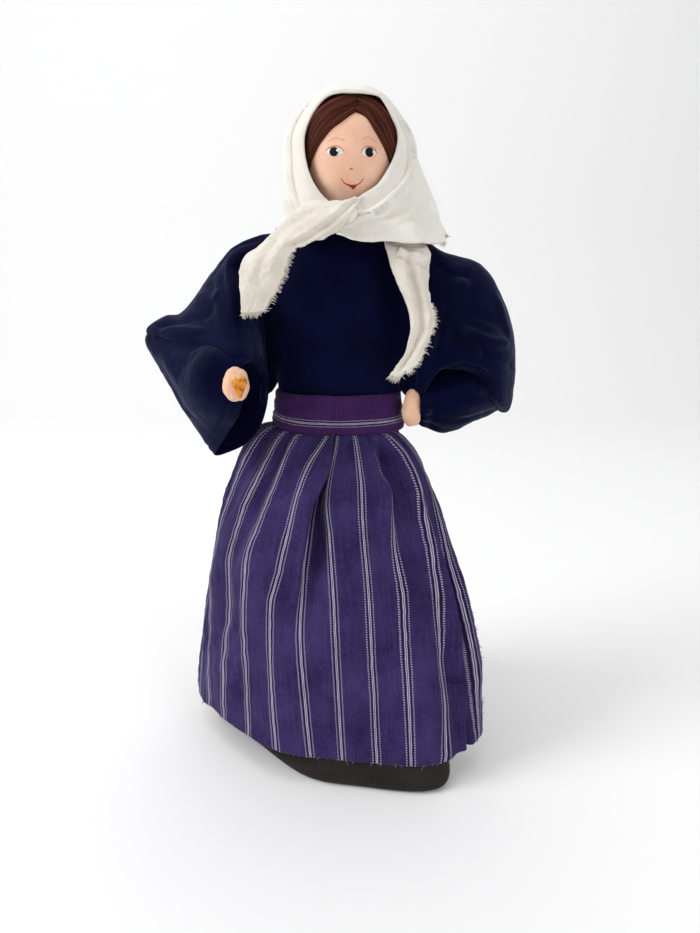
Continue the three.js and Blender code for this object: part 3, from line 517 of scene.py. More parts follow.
def striped(name, dark, light, pitch, only=None, size=1.0):
    """Cloth with woven stripes a pitch apart along u, or with one stripe at the place only along v."""
    look = Look(name, Roughness=0.88, Sheen_Weight=0.12, Sheen_Roughness=0.35, Specular_IOR_Level=0.08)
    place = look.place()
    u, v = look.split(place)
    if only is None:
        in_pitch = look.math("FLOORED_MODULO", look.add(u, pitch / 2), pitch)
        off = look.math("SUBTRACT", in_pitch, pitch / 2)
        run = v
    else:
        off = look.math("SUBTRACT", v, only)
        run = u
    wobble = look.times(look.streaks(place, 0.3, 0.3), 0.3, -0.15)
    off = look.math("DIVIDE", look.add(off, wobble), size)
    dist = look.math("ABSOLUTE", off)
    thread = look.away(dist, white_thread_at)
    middle = look.band(thread, 0.08, 0.2, 1.0, 0.0)
    side = look.away(dist, dotted_line_at)
    dash = look.band(look.sine(run, dot_spacing), -0.35, 0.35)
    dotted = look.times(look.band(side, 0.14, 0.3, 1.0, 0.0), dash)
    worn = look.band(look.streaks(place, 0.5, 0.12), 0.25, 0.7, 0.72, 1.0)
    white = look.times(look.math("MAXIMUM", middle, look.times(dotted, 0.8)), worn)
    groove = look.band(look.away(dist, groove_at), 0.1, 0.3, 1.0, 0.0)
    threads = look.weave(place, 0.3)
    fleck = look.streaks(place, 3.0, 0.5, 2.0)
    long_fleck = look.streaks(place, 2.2, 0.06, 2.0)
    patches = look.noise(place, 0.06, 3.0)
    cross_fleck = look.streaks(place, 0.35, 3.0, 2.0)
    soft = look.times(patches, 0.5, look.times(threads, 0.15))
    soft = look.times(cross_fleck, 0.25, soft)
    tone = look.times(long_fleck, 0.3, look.times(fleck, 0.3, soft))
    ground = look.mix(look.band(tone, 0.45, 1.05), dark, light)
    ground = look.mix(look.times(groove, 0.75), ground, rgb(22, 14, 48))
    look.colour(look.mix(white, ground, rgb(192, 185, 202)))
    look.bump(look.times(white, 0.8, look.times(threads, 0.6, fleck)), 0.06)
    return look.material


apron_pitch, apron_length = 12.6, 122.0
apron_look = striped("apron_stripes", rgb(24, 17, 58), rgb(72, 59, 110), apron_pitch)
band_look = striped("band_stripes", rgb(42, 20, 62), rgb(74, 42, 96), apron_pitch, only=9.7, size=0.75)


def jersey(name, dark, light):
    look = Look(name, Roughness=0.8, Sheen_Weight=0.1, Sheen_Roughness=0.5, Specular_IOR_Level=0.15)
    look.shader.inputs["Subsurface Weight"].default_value = 0.08
    look.shader.inputs["Subsurface Radius"].default_value = (0.002, 0.001, 0.0006)
    place = look.place()
    u, v = look.split(place)
    rows = look.sine(u, 0.3)
    fine = look.noise(place, 2.2, 3.0, 0.7)
    patches = look.noise(place, 0.12, 2.0)
    tone = look.times(fine, 0.5, look.times(patches, 0.4, look.times(rows, 0.05)))
    look.colour(look.mix(look.band(tone, 0.25, 0.7), dark, light))
    look.bump(look.times(rows, 0.1, fine), 0.035)
    return look.material


face_look = jersey("face_jersey", rgb(232, 176, 146), rgb(252, 215, 190))
hand_look = jersey("hand_felt", rgb(226, 172, 136), rgb(248, 214, 188))


def painted(name, colour, rough=0.5, gloss=0.3):
    look = Look(name, Roughness=rough, Specular_IOR_Level=gloss)
    grain = look.noise(look.spot(), 2500.0, 3.0)
    deep = tuple(0.75 * c for c in colour[:3]) + (1.0,)
    look.colour(look.mix(look.band(grain, 0.3, 0.7), deep, colour))
    look.bump(grain, 0.02)
    return look.material


def hair():
    look = Look("hair_thread", Roughness=0.55, Specular_IOR_Level=0.12)
    place = look.place()
    strand = look.streaks(place, 4.2, 0.05, 3.0, 0.7)
    auburn = look.streaks(place, 0.7, 0.02, 1.0)
    base = look.mix(look.band(strand, 0.32, 0.72), rgb(26, 7, 4), rgb(104, 50, 34))
    look.colour(look.mix(look.band(auburn, 0.52, 0.75), base, rgb(116, 58, 42)))
    look.bump(strand, 0.12)
    return look.material


hair_look = hair()
white_paint = painted("eye_white", rgb(246, 246, 248), 0.35, 0.5)
black_paint = painted("eye_dark", rgb(24, 28, 28), 0.5, 0.1)
lip_paint = painted("lips", rgb(172, 56, 52), 0.7, 0.1)
brow_paint = painted("brow", rgb(232, 178, 146), 0.8, 0.1)
lid_paint = painted("lid", rgb(196, 130, 102), 0.8, 0.1)
nose_paint = painted("nose", rgb(190, 138, 116), 0.8, 0.1)
wire_look = painted("wire", rgb(150, 150, 148), 0.4, 0.5)
felt_look = painted("sole_felt", rgb(46, 43, 41), 0.95, 0.1)


def wood(name, dark, light):
    look = Look(name, Roughness=0.65, Specular_IOR_Level=0.3)
    grain = look.noise(look.stretch(look.spot(), 900.0, 900.0, 40.0), 1.0, 4.0)
    look.colour(look.mix(look.band(grain, 0.3, 0.7), dark, light))
    look.bump(grain, 0.05)
    return look.material


def amber():
    """Stained wood, paler at the top of the wedge and darker in a knot."""
    look = Look("amber_wood", Roughness=0.45, Specular_IOR_Level=0.4)
    spot = look.spot()
    grain = look.noise(look.stretch(spot, 1400.0, 1400.0, 260.0), 1.0, 3.0)
    knot = look.noise(spot, 420.0, 1.0)
    base = look.mix(look.band(grain, 0.3, 0.7), rgb(206, 124, 14), rgb(236, 158, 40))
    base = look.mix(look.band(knot, 0.52, 0.72), base, rgb(176, 88, 8))
    height = look.node("ShaderNodeSeparateXYZ", {0: spot}).outputs[2]
    look.colour(look.mix(look.band(height, 0.1535, 0.157), base, rgb(250, 206, 150)))
    look.bump(grain, 0.03)
    return look.material


peg_look = amber()
board_look = wood("board_wood", rgb(140, 104, 62), rgb(196, 160, 108))
dowel_look = wood("dowel_wood", rgb(176, 140, 92), rgb(220, 190, 142))

# Skirt, drawn over the board and turned in under it
foot_radius = polar(foot_outline)


def skirt_radius(degrees, z):
    drop = np.clip((waist_height - z) / (waist_height - 3.5), 0, 1)
    waist = ellipse(waist_half_width, waist_half_depth, degrees)
    return lerp(waist, foot_radius(degrees), drop**skirt_flare)


def waist_lift(degrees):
    """Rise of the waistband's lower edge, and of the apron's top, at the doll's right side."""
    return 2.2 * bell(from_right(degrees), 0, 26)


def hollow(degrees, z):
    """Depth that the apron's folds press into the skirt's front."""
    drop = (waist_height - z) / waist_height
    wrapped = (degrees + 270) % 360 - 270
    front = smooth(-150, -125, wrapped) * smooth(-18, -30, wrapped)
    return 6.0 * front * smooth(0.01, 0.12, drop) * smooth(0.62, 0.4, drop)


def skirt():
    degrees = full_turn(440)
    heights = np.concatenate([[133.0], np.linspace(130.0, 3.4, 100)])
    drop = (waist_height - heights) / waist_height
    back = smooth(-20, 20, (degrees + 180) % 360 - 180) * smooth(200, 165, degrees % 360)
    gathers = waves(11, 24, 9.0, 22.0)(degrees * 1.1, 0) * 1.5 * back
    relief = gathers * np.exp(-((np.maximum(drop, 0) / 0.55) ** 2))[None] * smooth(0.0, 0.05, drop)[None]
    slow = 0.5 * waves(12, 14, 30.0, 80.0)(degrees * 0.8, heights[None])
    slow = slow * back * smooth(0.95, 0.6, drop)[None]
    radius = skirt_radius(degrees, heights[None]) + relief + slow - hollow(degrees, heights[None])
    side = around(radius, degrees, heights[None])
    turn = [(0.35, 2.0), (1.0, 0.9), (2.0, 0.25), (3.2, 0.0), (5.5, 0.0), (9.0, 0.0)]
    under = [around(foot_radius(degrees[:, 0]) - inset, degrees[:, 0], z) for inset, z in turn]
    grid = np.concatenate([side, np.stack(under, 1)], 1)
    piece = cloth_piece("skirt_drape", grid, skirt_cloth, skirt_look, closed=True, outward=-1)
    fit(piece, "torso", "skirt_cloth", "skirt")


skirt()

# Apron: stripe by stripe, the angle it runs at, by its share of the drop from band to hem
stripe_paths = {
    0: [(0, -166), (0.15, -172), (0.43, -178.8), (0.65, -175.9), (1, -169)],
    1: [(0, -149), (0.13, -152.3), (0.27, -160.6), (0.42, -167), (0.64, -162.6), (1, -157)],
    2: [(0, -133.5), (0.13, -138), (0.27, -146), (0.39, -151.2), (0.54, -150.7), (1, -139)],
    3: [(0, -102), (0.08, -114.9), (0.16, -120.3), (0.29, -123.5), (0.41, -127.7), (0.54, -131),
        (1, -120.6)],
    # The first deep fold: its overhanging crest, the stripe hidden behind it, and its valley
    3.75: [(0, -94), (0.09, -96), (0.15, -101.5), (0.2, -106.4), (0.29, -108.4), (0.4, -111.8),
           (0.6, -116), (1, -107.5)],
    4: [(0, -95.5), (0.09, -99.5), (0.15, -106.3), (0.2, -111), (0.29, -112.8), (0.38, -113.2),
        (0.46, -112), (0.6, -111), (1, -103.2)],
    4.3: [(0, -93), (0.09, -97), (0.15, -103), (0.2, -107.5), (0.29, -108.2), (0.42, -107.4),
          (0.6, -105.3), (1, -98.6)],
    5: [(0, -90.2), (0.17, -98.5), (0.3, -95.4), (0.42, -93.2), (0.54, -91.8), (1, -87.9)],
    6: [(0, -70), (0.14, -70.9), (0.28, -72.5), (0.42, -71.9), (0.6, -72.4), (1, -72.8)],
    # The second deep fold: its crest, the stripe beside it, and its valley
    6.8: [(0, -55), (0.06, -56), (0.1, -56.2), (0.14, -54), (0.18, -54.5), (0.25, -57), (0.4, -59),
          (1, -63.3)],
    7: [(0, -54.6), (0.06, -55.6), (0.1, -55.8), (0.14, -52.8), (0.17, -51.6), (0.23, -53), (0.33, -54.9),
        (0.49, -55.8), (1, -60.9)],
    7.35: [(0, -51), (0.06, -53), (0.1, -53), (0.15, -50), (0.22, -48.8), (0.33, -48.2), (0.49, -49.6),
           (1, -56.8)],
    8: [(0, -36), (0.07, -31), (0.13, -30.8), (0.25, -35.5), (0.38, -37.2), (0.54, -38.8), (1, -49.2)],
    # The ridge on the doll's left, the pocket behind it, and the selvedge that comes forward again
    8.4: [(0, -31), (0.07, -27.5), (0.15, -27), (0.36, -32.3), (0.49, -33.4), (0.61, -35.4), (0.76, -37),
          (1, -39.3)],
    8.7: [(0, -28.5), (0.15, -24.5), (0.36, -30.5), (0.53, -33.6), (0.64, -34.3), (0.77, -34.5),
          (0.89, -35.2), (1, -37)],
    9: [(0, -24), (0.15, -20.5), (0.36, -27.5), (0.53, -31.8), (0.64, -31.2), (0.77, -29.2),
        (0.89, -28.7), (1, -30.8)],
    9.35: [(0, -21), (0.15, -17.5), (0.36, -23.8), (0.53, -27.8), (0.64, -27), (0.77, -25), (0.89, -24.6),
           (1, -27.4)],
}
stand_off = profile([
    (-190, 8.3), (-183, 8.2), (-163, 8.8), (-150, 8.6), (-136, 7.5), (-120, 5.3), (-101, 0.7),
    (-87, -0.6), (-75, -0.9), (-61, -2.6), (-52, -0.9), (-46, 1.0), (-40, 3.6), (-35, 12.6),
])
apron_sweep = profile([
    (-190, 0.42), (-172, 0.42), (-150, 0.5), (-90, 0.62), (-50, 0.72), (-38, 0.62), (-14, 0.5),
])
apron_left_u = -2.2 * apron_pitch
apron_right_u = 9.35 * apron_pitch
# Main folds: height across the cloth, counted in stripes, and strength down the drop
apron_folds = [
    (
        [(3.0, 0), (3.4, 1.0), (3.74, 2.6), (3.9, -1.6), (4.2, -7.6), (4.6, -4.2), (5.1, 0.3), (5.5, 0)],
        [(0, 0.1), (0.07, 0.55), (0.16, 1), (0.32, 0.95), (0.46, 0.4), (0.62, 0)],
    ),
    (
        [(6.1, 0), (6.5, 1.0), (6.84, 2.7), (7.0, 0.8), (7.32, -7.0), (7.62, -4.6), (7.95, 0.2), (8.2, 0)],
        [(0, 0.2), (0.05, 0.8), (0.14, 1), (0.22, 0.7), (0.32, 0.28), (0.45, 0)],
    ),
    (
        [(8.0, 0), (8.22, 1.0), (8.42, 2.6), (8.7, -4.6), (8.95, -1.0), (9.15, 0), (9.35, 0)],
        [(0.22, 0), (0.38, 0.5), (0.55, 1), (0.9, 1), (1, 0.8)],
    ),
    (
        [(8.7, 0), (8.85, 0.3), (9.1, 0.9), (9.35, 1)],
        [(0.15, 0), (0.37, 4.0), (0.5, 6.5), (0.65, 7.0), (0.8, 6.2), (0.9, 4.5), (1, 2.4)],
    ),
    ([(1.1, 0), (1.5, -2.2), (1.95, 0.9), (2.4, 0)], [(0, 0.8), (0.1, 1), (0.3, 0.5), (0.55, 0)]),
    ([(2.3, 0), (2.6, -1.6), (2.9, 0)], [(0, 0.6), (0.05, 1), (0.2, 0)]),
    ([(5.4, 0), (5.65, -1.8), (5.9, 0)], [(0, 0.8), (0.03, 1), (0.14, 0)]),
    ([(0.0, 0), (0.35, -2.0), (0.8, 0.5), (1.1, 0)], [(0, 0.8), (0.1, 1), (0.35, 0.3), (0.6, 0)]),
    ([(-1.3, 0), (-0.9, -1.8), (-0.4, 0.5), (0, 0)], [(0, 0.8), (0.12, 1), (0.4, 0)]),
    ([(0.5, 0), (1.0, -1.2), (1.6, 0)], [(0.25, 0), (0.5, 1), (0.9, 0)]),
]


def apron_grid(columns=310, rows=155):
    u = np.linspace(apron_left_u, apron_right_u, columns) / apron_pitch
    drop = np.linspace(0, 1, rows) ** 1.15
    # Angle of each place on the cloth: by the paths of its stripes, and even past the first
    paths = np.stack([profile(path)(drop) for path in stripe_paths.values()])
    left_edge = -181 - 7 * drop
    steps = np.arange(1, 3)[::-1, None]
    before = paths[0] + (left_edge - paths[0]) * steps / (-apron_left_u / apron_pitch)
    places = np.concatenate([before, paths])
    marks = [-2.0, -1.0, *stripe_paths]
    degrees = np.empty((columns, rows))
    for j in range(rows):
        degrees[:, j] = profile(list(zip(marks, places[:, j])))(u)
    z = lerp(waist_height - GAP + waist_lift(degrees), apron_hem_height, drop[None])
    band = ellipse(waist_half_width + GAP, waist_half_depth + GAP, degrees) + band_cloth
    hem = foot_radius(degrees) + stand_off(degrees)
    radius = lerp(band, hem, drop[None] ** apron_sweep(degrees))
    for across, down in apron_folds:
        radius = radius + profile(across)(u)[:, None] * profile(down)(drop)[None]
    flat_u = u[:, None] * apron_pitch + 0 * radius
    flat_v = drop[None] * apron_length + 0 * radius
    coarse, fine = waves(21, 30, 9.0, 34.0), waves(22, 40, 2.2, 7.0)
    radius = radius + 0.4 * coarse(flat_u * 1.6, flat_v * 0.6) * smooth(0.0, 0.1, drop)[None]
    radius = radius + 0.10 * fine(flat_u, flat_v * 0.7) * smooth(0.0, 0.05, drop)[None]
    # Slanting wrinkles low on the doll's right
    drift = 1.5 * waves(23, 12, 14.0, 40.0)(flat_u, flat_v)
    slant = np.cos(math.tau * (0.8 * flat_u + 0.6 * flat_v) / 8.5 + drift)
    radius = radius + 0.28 * slant * bell(u, 0.8, 1.6)[:, None] * bell(drop, 0.72, 0.2)[None]
    radius = np.maximum(radius, skirt_radius(degrees, z) - hollow(degrees, z) + apron_cloth + 0.4)
    return around(radius, degrees, z), np.stack([flat_u, flat_v], -1)


def apron():
    grid, uv = apron_grid()
    piece = cloth_piece("apron_drape", grid, apron_cloth, apron_look, uv=uv, outward=-1)
    fit(piece, "torso", "apron_cloth", "apron")
    # Loose threads on the low end of the selvedge and here and there along the hem
    rng = np.random.default_rng(24)
    last_column, last_row = grid.shape[0] - 1, grid.shape[1] - 1
    rows = rng.integers(int(0.6 * last_row), last_row, 110)
    columns = rng.integers(10, last_column - 10, 60)
    fringe = threads_piece("apron_threads", *fray(grid, rows, columns, 2), 1.3, 0.22, fray_look, 25)
    fit(fringe, "torso", "apron_cloth")


apron()


# Waistband, its end lapped over its start at the back
def waistband():
    columns, rows = 420, 26
    turned = np.linspace(0, 374, columns)[:, None]
    degrees = 92 + turned
    lapped = np.clip((turned - 352) / 8, 0, 1) * (band_cloth + GAP)
    share = np.linspace(0, 1, rows)[None]
    z = waist_height + band_height * (1 - share) + waist_lift(degrees) * share
    # A small fold of the upper edge stands up at the doll's right
    z = z + 1.5 * bell(from_right(degrees), 14, 5) * (1 - share) ** 2
    uv = np.stack([turned * 0.36 + 0 * z, share * band_height + 0 * z], -1)
    edge = 0.35 * (bell(share, 0, 0.09) + bell(share, 1, 0.09))
    folds = 0.28 * waves(31, 20, 3.0, 16.0)(uv[..., 0] * 0.7, uv[..., 1] * 2.0)
    radius = ellipse(waist_half_width + GAP, waist_half_depth + GAP, degrees) + band_cloth + lapped
    radius = radius + folds * smooth(0, 0.2, share) * smooth(1, 0.8, share) + 0.3 - edge
    radius = radius + 1.5 * smooth(0.4, 1, share) * np.cos(np.radians(degrees)) ** 2
    z = z + 0.25 * waves(32, 12, 12.0, 40.0)(uv[..., 0], 0) * (1 - share)
    grid = around(radius, degrees, z)
    piece = cloth_piece("waistband_cloth", grid, band_cloth, band_look, uv=uv, outward=-1)
    fit(piece, "torso", "band_cloth", "waistband")


# Blouse body
def torso_share(z):
    return (z - waist_height) / (neck_top - waist_height)


blouse_width = profile([
    (0, 22.2), (0.19, 22.8), (0.48, 26), (0.7, 28), (0.82, 28), (0.91, 24.08), (0.96, 17.36), (1, 10.5),
])
blouse_depth = profile([
    (0, 15.4), (0.19, 16), (0.48, 18), (0.7, 17.5), (0.82, 15.5), (0.91, 13.175), (0.96, 11.16), (1, 10),
])


def bodice():
    degrees = full_turn(300)
    z = np.linspace(133.3, neck_top, 150)[None] + 0 * degrees
    share = torso_share(z)
    radius = ellipse(blouse_width(share), blouse_depth(share), degrees)
    lumps = 0.25 * waves(41, 24, 10.0, 40.0)(degrees * 0.4, z)
    radius = radius + lumps * smooth(0.0, 0.1, share) * smooth(1, 0.9, share)
    # It puffs over the waistband beside the left hand
    radius = radius + 1.8 * np.maximum(np.cos(np.radians(degrees)), 0) ** 8 * bell(z, 143.8, 3.0)
    piece = cloth_piece("bodice_cloth", around(radius, degrees, z), blouse_cloth, blouse_look, closed=True)
    fit(piece, "torso", "blouse_cloth", "bodice")


bodice()
waistband()

# Sleeves, cut in one with the blouse. A ring's points go from the outer line of the sleeve by the front
# to the body side, and round by the back.
in_side = [
    (14, 0, 201.5), (15, -8, 196), (16, -10.5, 189), (17, -11, 180), (18, -10.8, 170), (21, -8, 155),
    (21.5, 3, 150), (19, 9, 170), (16, 8, 190),
]
sleeve_rings = {
    "right_upper": [
        [(-x, y, z) for x, y, z in in_side],
        [(-27, 0, 199.7), (-28.5, -3.5, 198), (-30, -5.5, 196), (-31, -6.5, 193), (-29, -4, 184),
         (-27.5, -3.5, 156), (-27, 3, 144), (-28, 9, 170), (-27, 8, 190)],
        [(-38, 0, 195.3), (-38.5, -4.5, 194.6), (-38.5, -8, 193), (-37.5, -10.5, 190.5), (-30, -4, 182),
         (-28, -5, 149), (-29, 5, 142.5), (-34, 12, 168), (-38, 10, 187)],
        [(-46.2, 2, 187.2), (-45.5, -7, 184.5), (-41.5, -13.5, 183), (-36.5, -18, 182.5), (-29.5, -5, 175),
         (-28, -6.5, 144), (-33, 7, 143), (-42, 14, 164), (-46, 12, 180)],
        [(-59.8, 4, 172), (-55.5, -8, 171.3), (-46, -18.5, 171), (-35.1, -26, 170.3), (-29, -8, 166),
         (-28, -8.5, 141.5), (-38, 9, 144), (-53, 14, 158), (-58, 12, 167)],
        [(-66, 4, 170.8), (-60, -8.5, 168.5), (-48, -20.5, 167.5), (-33.8, -30, 165.5), (-28.8, -11, 162),
         (-28, -9.5, 141), (-40, 9, 144.5), (-57, 13.5, 157), (-65, 10.5, 165)],
        [(-72.6, 3, 166.3), (-61.5, -10.5, 165.8), (-48, -22, 164.2), (-32.4, -34, 160.2), (-28.5, -14, 158),
         (-28, -10, 141), (-42, 9, 145), (-60, 13, 156), (-70, 9, 162)],
        [(-70.2, 3, 163.6), (-60, -8.5, 163.2), (-47, -19, 162.2), (-33.2, -30.5, 158.6),
         (-29, -13.5, 156.5),
         (-28.5, -8.5, 146), (-41.5, 8, 147.5), (-58.5, 11, 156.5), (-67.5, 8, 161)],
    ],
    "right_lower": [
        [(-72, 2.5, 165.6), (-71, 0.6, 165.4), (-70, 0, 165.5), (-69.5, -0.5, 166), (-69, 0, 166.5),
         (-68, 1.5, 166), (-67.5, 3, 165.5), (-68.5, 4, 165), (-70, 4, 164.8)],
        [(-73, 2.5, 163), (-71.4, -2, 163.2), (-69.5, -3.5, 163.6), (-68.5, -4, 164.6), (-67.5, -3.5, 165.5),
         (-64, 1, 165), (-63, 5, 163), (-65, 7.5, 161), (-69.5, 6.5, 160.5)],
        [(-68.1, -1, 154.2), (-66.5, -8.5, 156.5), (-63.5, -13, 160), (-60, -12.5, 163), (-58, -11, 164.8),
         (-54, -5, 163), (-53, 4, 157), (-57, 8.5, 151.5), (-63.5, 6, 150.5)],
        [(-62.5, -4.5, 145.5), (-59.5, -15, 148), (-55, -23.5, 153), (-51, -25, 159), (-47, -20, 163.4),
         (-42.5, -13, 161), (-42, -2, 153), (-46, 3, 143), (-55.5, 1.5, 141)],
        [(-54.5, -10.5, 134.5), (-51.5, -22.5, 139.5), (-47.5, -34, 148), (-44.5, -36.5, 156),
         (-40, -32.5, 161.6),
         (-34.5, -20, 159.5), (-33.5, -9, 150.5), (-36, -4, 139.5), (-45, -6, 131.5)],
        [(-45.1, -16, 122.4), (-39.5, -26.5, 132.5), (-33, -36.5, 142.5), (-31.2, -37.4, 151),
         (-31.2, -35, 159),
         (-27.5, -23, 157), (-26.1, -9.5, 145.4), (-28.7, -10, 133.5), (-35, -13, 126)],
    ],
    "left_upper": [
        in_side,
        [(29, 0, 199.5), (29, -6, 196.5), (28.5, -9, 190), (28, -9, 181), (27.5, -8.5, 170), (27, -7, 146.5),
         (27, 2, 143), (29, 9.5, 168), (28.5, 8, 190)],
        [(40, 0, 194.2), (40, -8, 190.5), (37.5, -12, 183), (34, -13, 171), (31, -12.5, 148.5),
         (29, -8.5, 142),
         (30, 4, 143.5), (36, 13, 167), (40, 10, 187)],
        [(52, 1.5, 190.2), (51.5, -10, 184), (47, -16, 175), (39.5, -17.5, 165), (32.5, -14, 148.5),
         (30, -9, 142), (34, 8, 147.5), (45, 17, 166), (51, 13, 182)],
        [(58.8, 4, 183.4), (57, -10, 176.5), (51.5, -18, 168), (43.5, -20, 161.5), (35.5, -16.3, 152.6),
         (31, -9.5, 144), (38, 12, 147), (51, 20, 162), (58, 16, 176)],
        [(64.5, 6.5, 174.3), (61.5, -8.5, 168), (56, -17.5, 161.5), (48.5, -20.5, 158.3), (40, -17.8, 156.9),
         (33, -8, 149.5), (41, 16, 147), (56, 23, 158), (64, 18, 168)],
        [(68.3, 8.5, 163.5), (65, -6, 159), (60.5, -14.5, 155.3), (54.5, -18.5, 154.6), (46.5, -17.9, 157.2),
         (37, -6, 153), (44, 19, 145), (59, 25, 152), (67, 20, 158)],
        [(69, 10, 150.5), (66.5, -3, 149), (63.5, -9.5, 148), (59.5, -13.5, 148.3), (53, -14.6, 152.4),
         (41, 0, 152), (47, 21, 141), (60, 24, 144), (67, 20, 148)],
        [(66.8, 10.3, 135.5), (65.3, 1.5, 136.8), (63, -3.5, 138.5), (60.8, -6.5, 140.7), (57.4, -8, 143.6),
         (45, 4, 149), (49, 20, 137), (59, 21, 136.5), (65, 17, 137)],
        [(65, 10.3, 136), (63.8, 2.5, 137.5), (61.5, -2, 139.5), (59.5, -4.5, 141.5), (56, -5.5, 144.5),
         (46, 5, 148), (50, 19, 138.5), (58.5, 19.5, 138), (63.5, 16, 137.8)],
    ],
    "left_lower": [
        [(63, 12, 150), (65.5, 6, 147), (65.8, 7, 138.6), (66, 10.5, 135), (62.5, 17, 138), (61, 18, 146)],
        [(60, 8, 152), (62.3, -1, 148.5), (62.5, -2, 140), (61.5, 7, 132.8), (57, 16, 136), (57, 17, 147)],
        [(53, 2, 155), (55, -9, 151), (55.5, -10.5, 141), (52, 2.5, 130.6), (49, 14, 134), (50, 14, 148)],
        [(46.5, -2, 155.5), (48, -13.5, 151), (48.5, -14.5, 141), (45.5, 0, 128), (42.5, 11, 133),
         (43, 10, 148)],
        [(40.5, -3, 153.5), (41.6, -13.5, 149.5), (41.8, -14, 140), (39.8, -1.5, 127.2), (37, 7, 133),
         (37, 5, 147)],
        [(34.6, -4.5, 149.5), (35.6, -11.5, 146.5), (35.8, -12, 139), (34.3, -5, 130.5), (32, 0, 134.5),
         (32, -0.5, 144)],
        [(32, -6.8, 148), (33, -12.6, 145.5), (33.2, -14.4, 139), (32, -9.5, 132.2), (30.6, -4.6, 134.5),
         (30.6, -4.4, 143.5)],
        [(30.4, -8.4, 146.2), (31, -13.2, 144), (31, -14.8, 138.8), (30.4, -11, 132.9),
         (29.4, -7.2, 134.6), (29.4, -6.8, 142.6)],
    ],
}
# Folds of each sleeve: the line it follows, its depth (a ridge where negative), width and raised sides
sleeve_folds = {
    "right_upper": [
        ([(-70, -2, 168), (-60, -9, 170.5), (-50, -16, 172.5), (-41, -20, 174)], -0.9, 2.2, 0.0),
        ([(-52, -3, 179), (-45, -12, 178), (-40, -17, 179)], 0.8, 2.4, 0.2),
        ([(-66, -5, 166.8), (-54, -15, 167), (-44, -23, 167.3)], 0.8, 1.3, 0.2),
        ([(-44, -6, 188), (-42, -11, 184), (-40, -18, 176), (-38, -25, 168)], 0.5, 2.0, 0.2),
    ],
    "right_lower": [
        ([(-51, -20, 140), (-45, -26, 145), (-39, -31, 149), (-35, -35, 150)], 0.5, 1.3, 0.25),
        ([(-66, -6, 160), (-58, -13, 152), (-52, -18, 144), (-47, -20, 136)], -0.7, 2.6, 0.0),
        ([(-58, -16, 159), (-50, -22.5, 157), (-43, -28, 158)], 0.6, 1.5, 0.2),
        ([(-62, -8, 152), (-56, -12, 144), (-50, -16, 136)], 0.5, 1.6, 0.2),
    ],
    "left_upper": [
        ([(46.2, -10, 187), (42.3, -15, 179), (37.8, -18, 166), (38, -18, 157)], 2.2, 2.6, 0.9),
        ([(45.4, -16, 175), (54.8, -15, 171), (63, -4, 166)], -1.3, 2.6, 0.0),
        ([(44, -18, 168), (53, -18, 164), (62, -9, 162)], 1.6, 1.8, 0.4),
        ([(50, -20, 158), (47, -19, 164), (42, -17, 172)], 1.2, 1.6, 0.4),
        ([(33, -8, 193), (40, -11, 188), (50, -11, 185.5)], -0.9, 2.2, 0.0),
        ([(48, -19, 160.5), (57, -16, 157), (65, -5, 153)], -0.7, 1.8, 0.0),
        ([(55, -8, 180), (60, -8, 172), (64, -6, 164)], 0.6, 2.2, 0.2),
    ],
    "left_lower": [
        ([(60, -2, 142), (52, -12, 143.5), (44, -14.5, 146)], 1.0, 1.8, 0.3),
        ([(60, 2, 136.5), (52, -6, 136), (44, -10, 135.5)], 0.8, 1.6, 0.3),
    ],
}


def sleeve_grid(key, columns=240, rows=190):
    rings = [curve(corners, True)(np.arange(columns) / columns) for corners in sleeve_rings[key]]
    return np.moveaxis(curve(np.stack(rings))(np.linspace(0, 1, rows)), 0, 1)


def sleeve(key, seed, outward):
    side, part = key.split("_")
    grid = sleeve_grid(key)
    columns, rows = grid.shape[:2]
    uv = cloth_uv(grid, True)
    along = (np.arange(rows) / (rows - 1))[None]
    n = normals_of(grid, True) * outward
    relief = 0.4 * waves(seed, 26, 12.0, 40.0)(uv[:-1, :, 0], uv[:-1, :, 1]) * smooth(0, 0.12, along)
    relief = relief + 0.06 * waves(seed + 5, 30, 2.5, 7.0)(uv[:-1, :, 0], uv[:-1, :, 1])
    for line, depth, width, lip in sleeve_folds[key]:
        relief = relief + crease(grid, n, line, depth, width, lip)
    if key == "left_lower":
        # Small pleats run back from the drawn-in cuff
        turn = np.arange(columns)[:, None] / columns
        pleats = waves(59, 14, 0.04, 0.09)(turn, 0)
        relief = relief + 0.55 * pleats * smooth(0.45, 0.8, along) * smooth(1.02, 0.9, along)
    if key == "right_lower":
        # Turned-up hem with its stitch line
        relief = relief + 0.3 * smooth(0.93, 0.945, along) - 0.25 * bell(along, 0.965, 0.006)
    grid = grid + n * relief[..., None]
    name = f"{side}_sleeve_{part}"
    piece = cloth_piece(name + "_cloth", grid, blouse_cloth, blouse_look, closed=True, uv=uv, outward=outward)
    if part == "upper":
        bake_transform(piece)
    else:
        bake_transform(piece)
    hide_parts(name)


for number, key in enumerate(sleeve_rings):
    sleeve(key, 50 + number, 1 if key.startswith("right") else -1)

# Head
head_width = profile([
    (0, 0.42), (0.1, 0.62), (0.25, 0.83), (0.45, 0.97), (0.6, 1), (0.78, 0.9), (0.9, 0.66), (0.97, 0.38),
    (1, 0.18),
])
head_mid_y = profile([(0, -4.5), (0.3, -2), (0.6, 0), (1, 1)])
head_centre = np.array([head_x, 0.0, 228.0])


def in_head(p, lift):
    share = (p[..., 2] - head_bottom + lift) / (head_height + 2 * lift)
    width = head_width(share)
    inside = (share > 0) & (share < 1)
    x = (p[..., 0] - head_x) / (head_half_width * width + lift)
    y = (p[..., 1] - head_mid_y(share)) / (head_half_depth * width + lift)
    return inside & (x**2 + y**2 < 1)


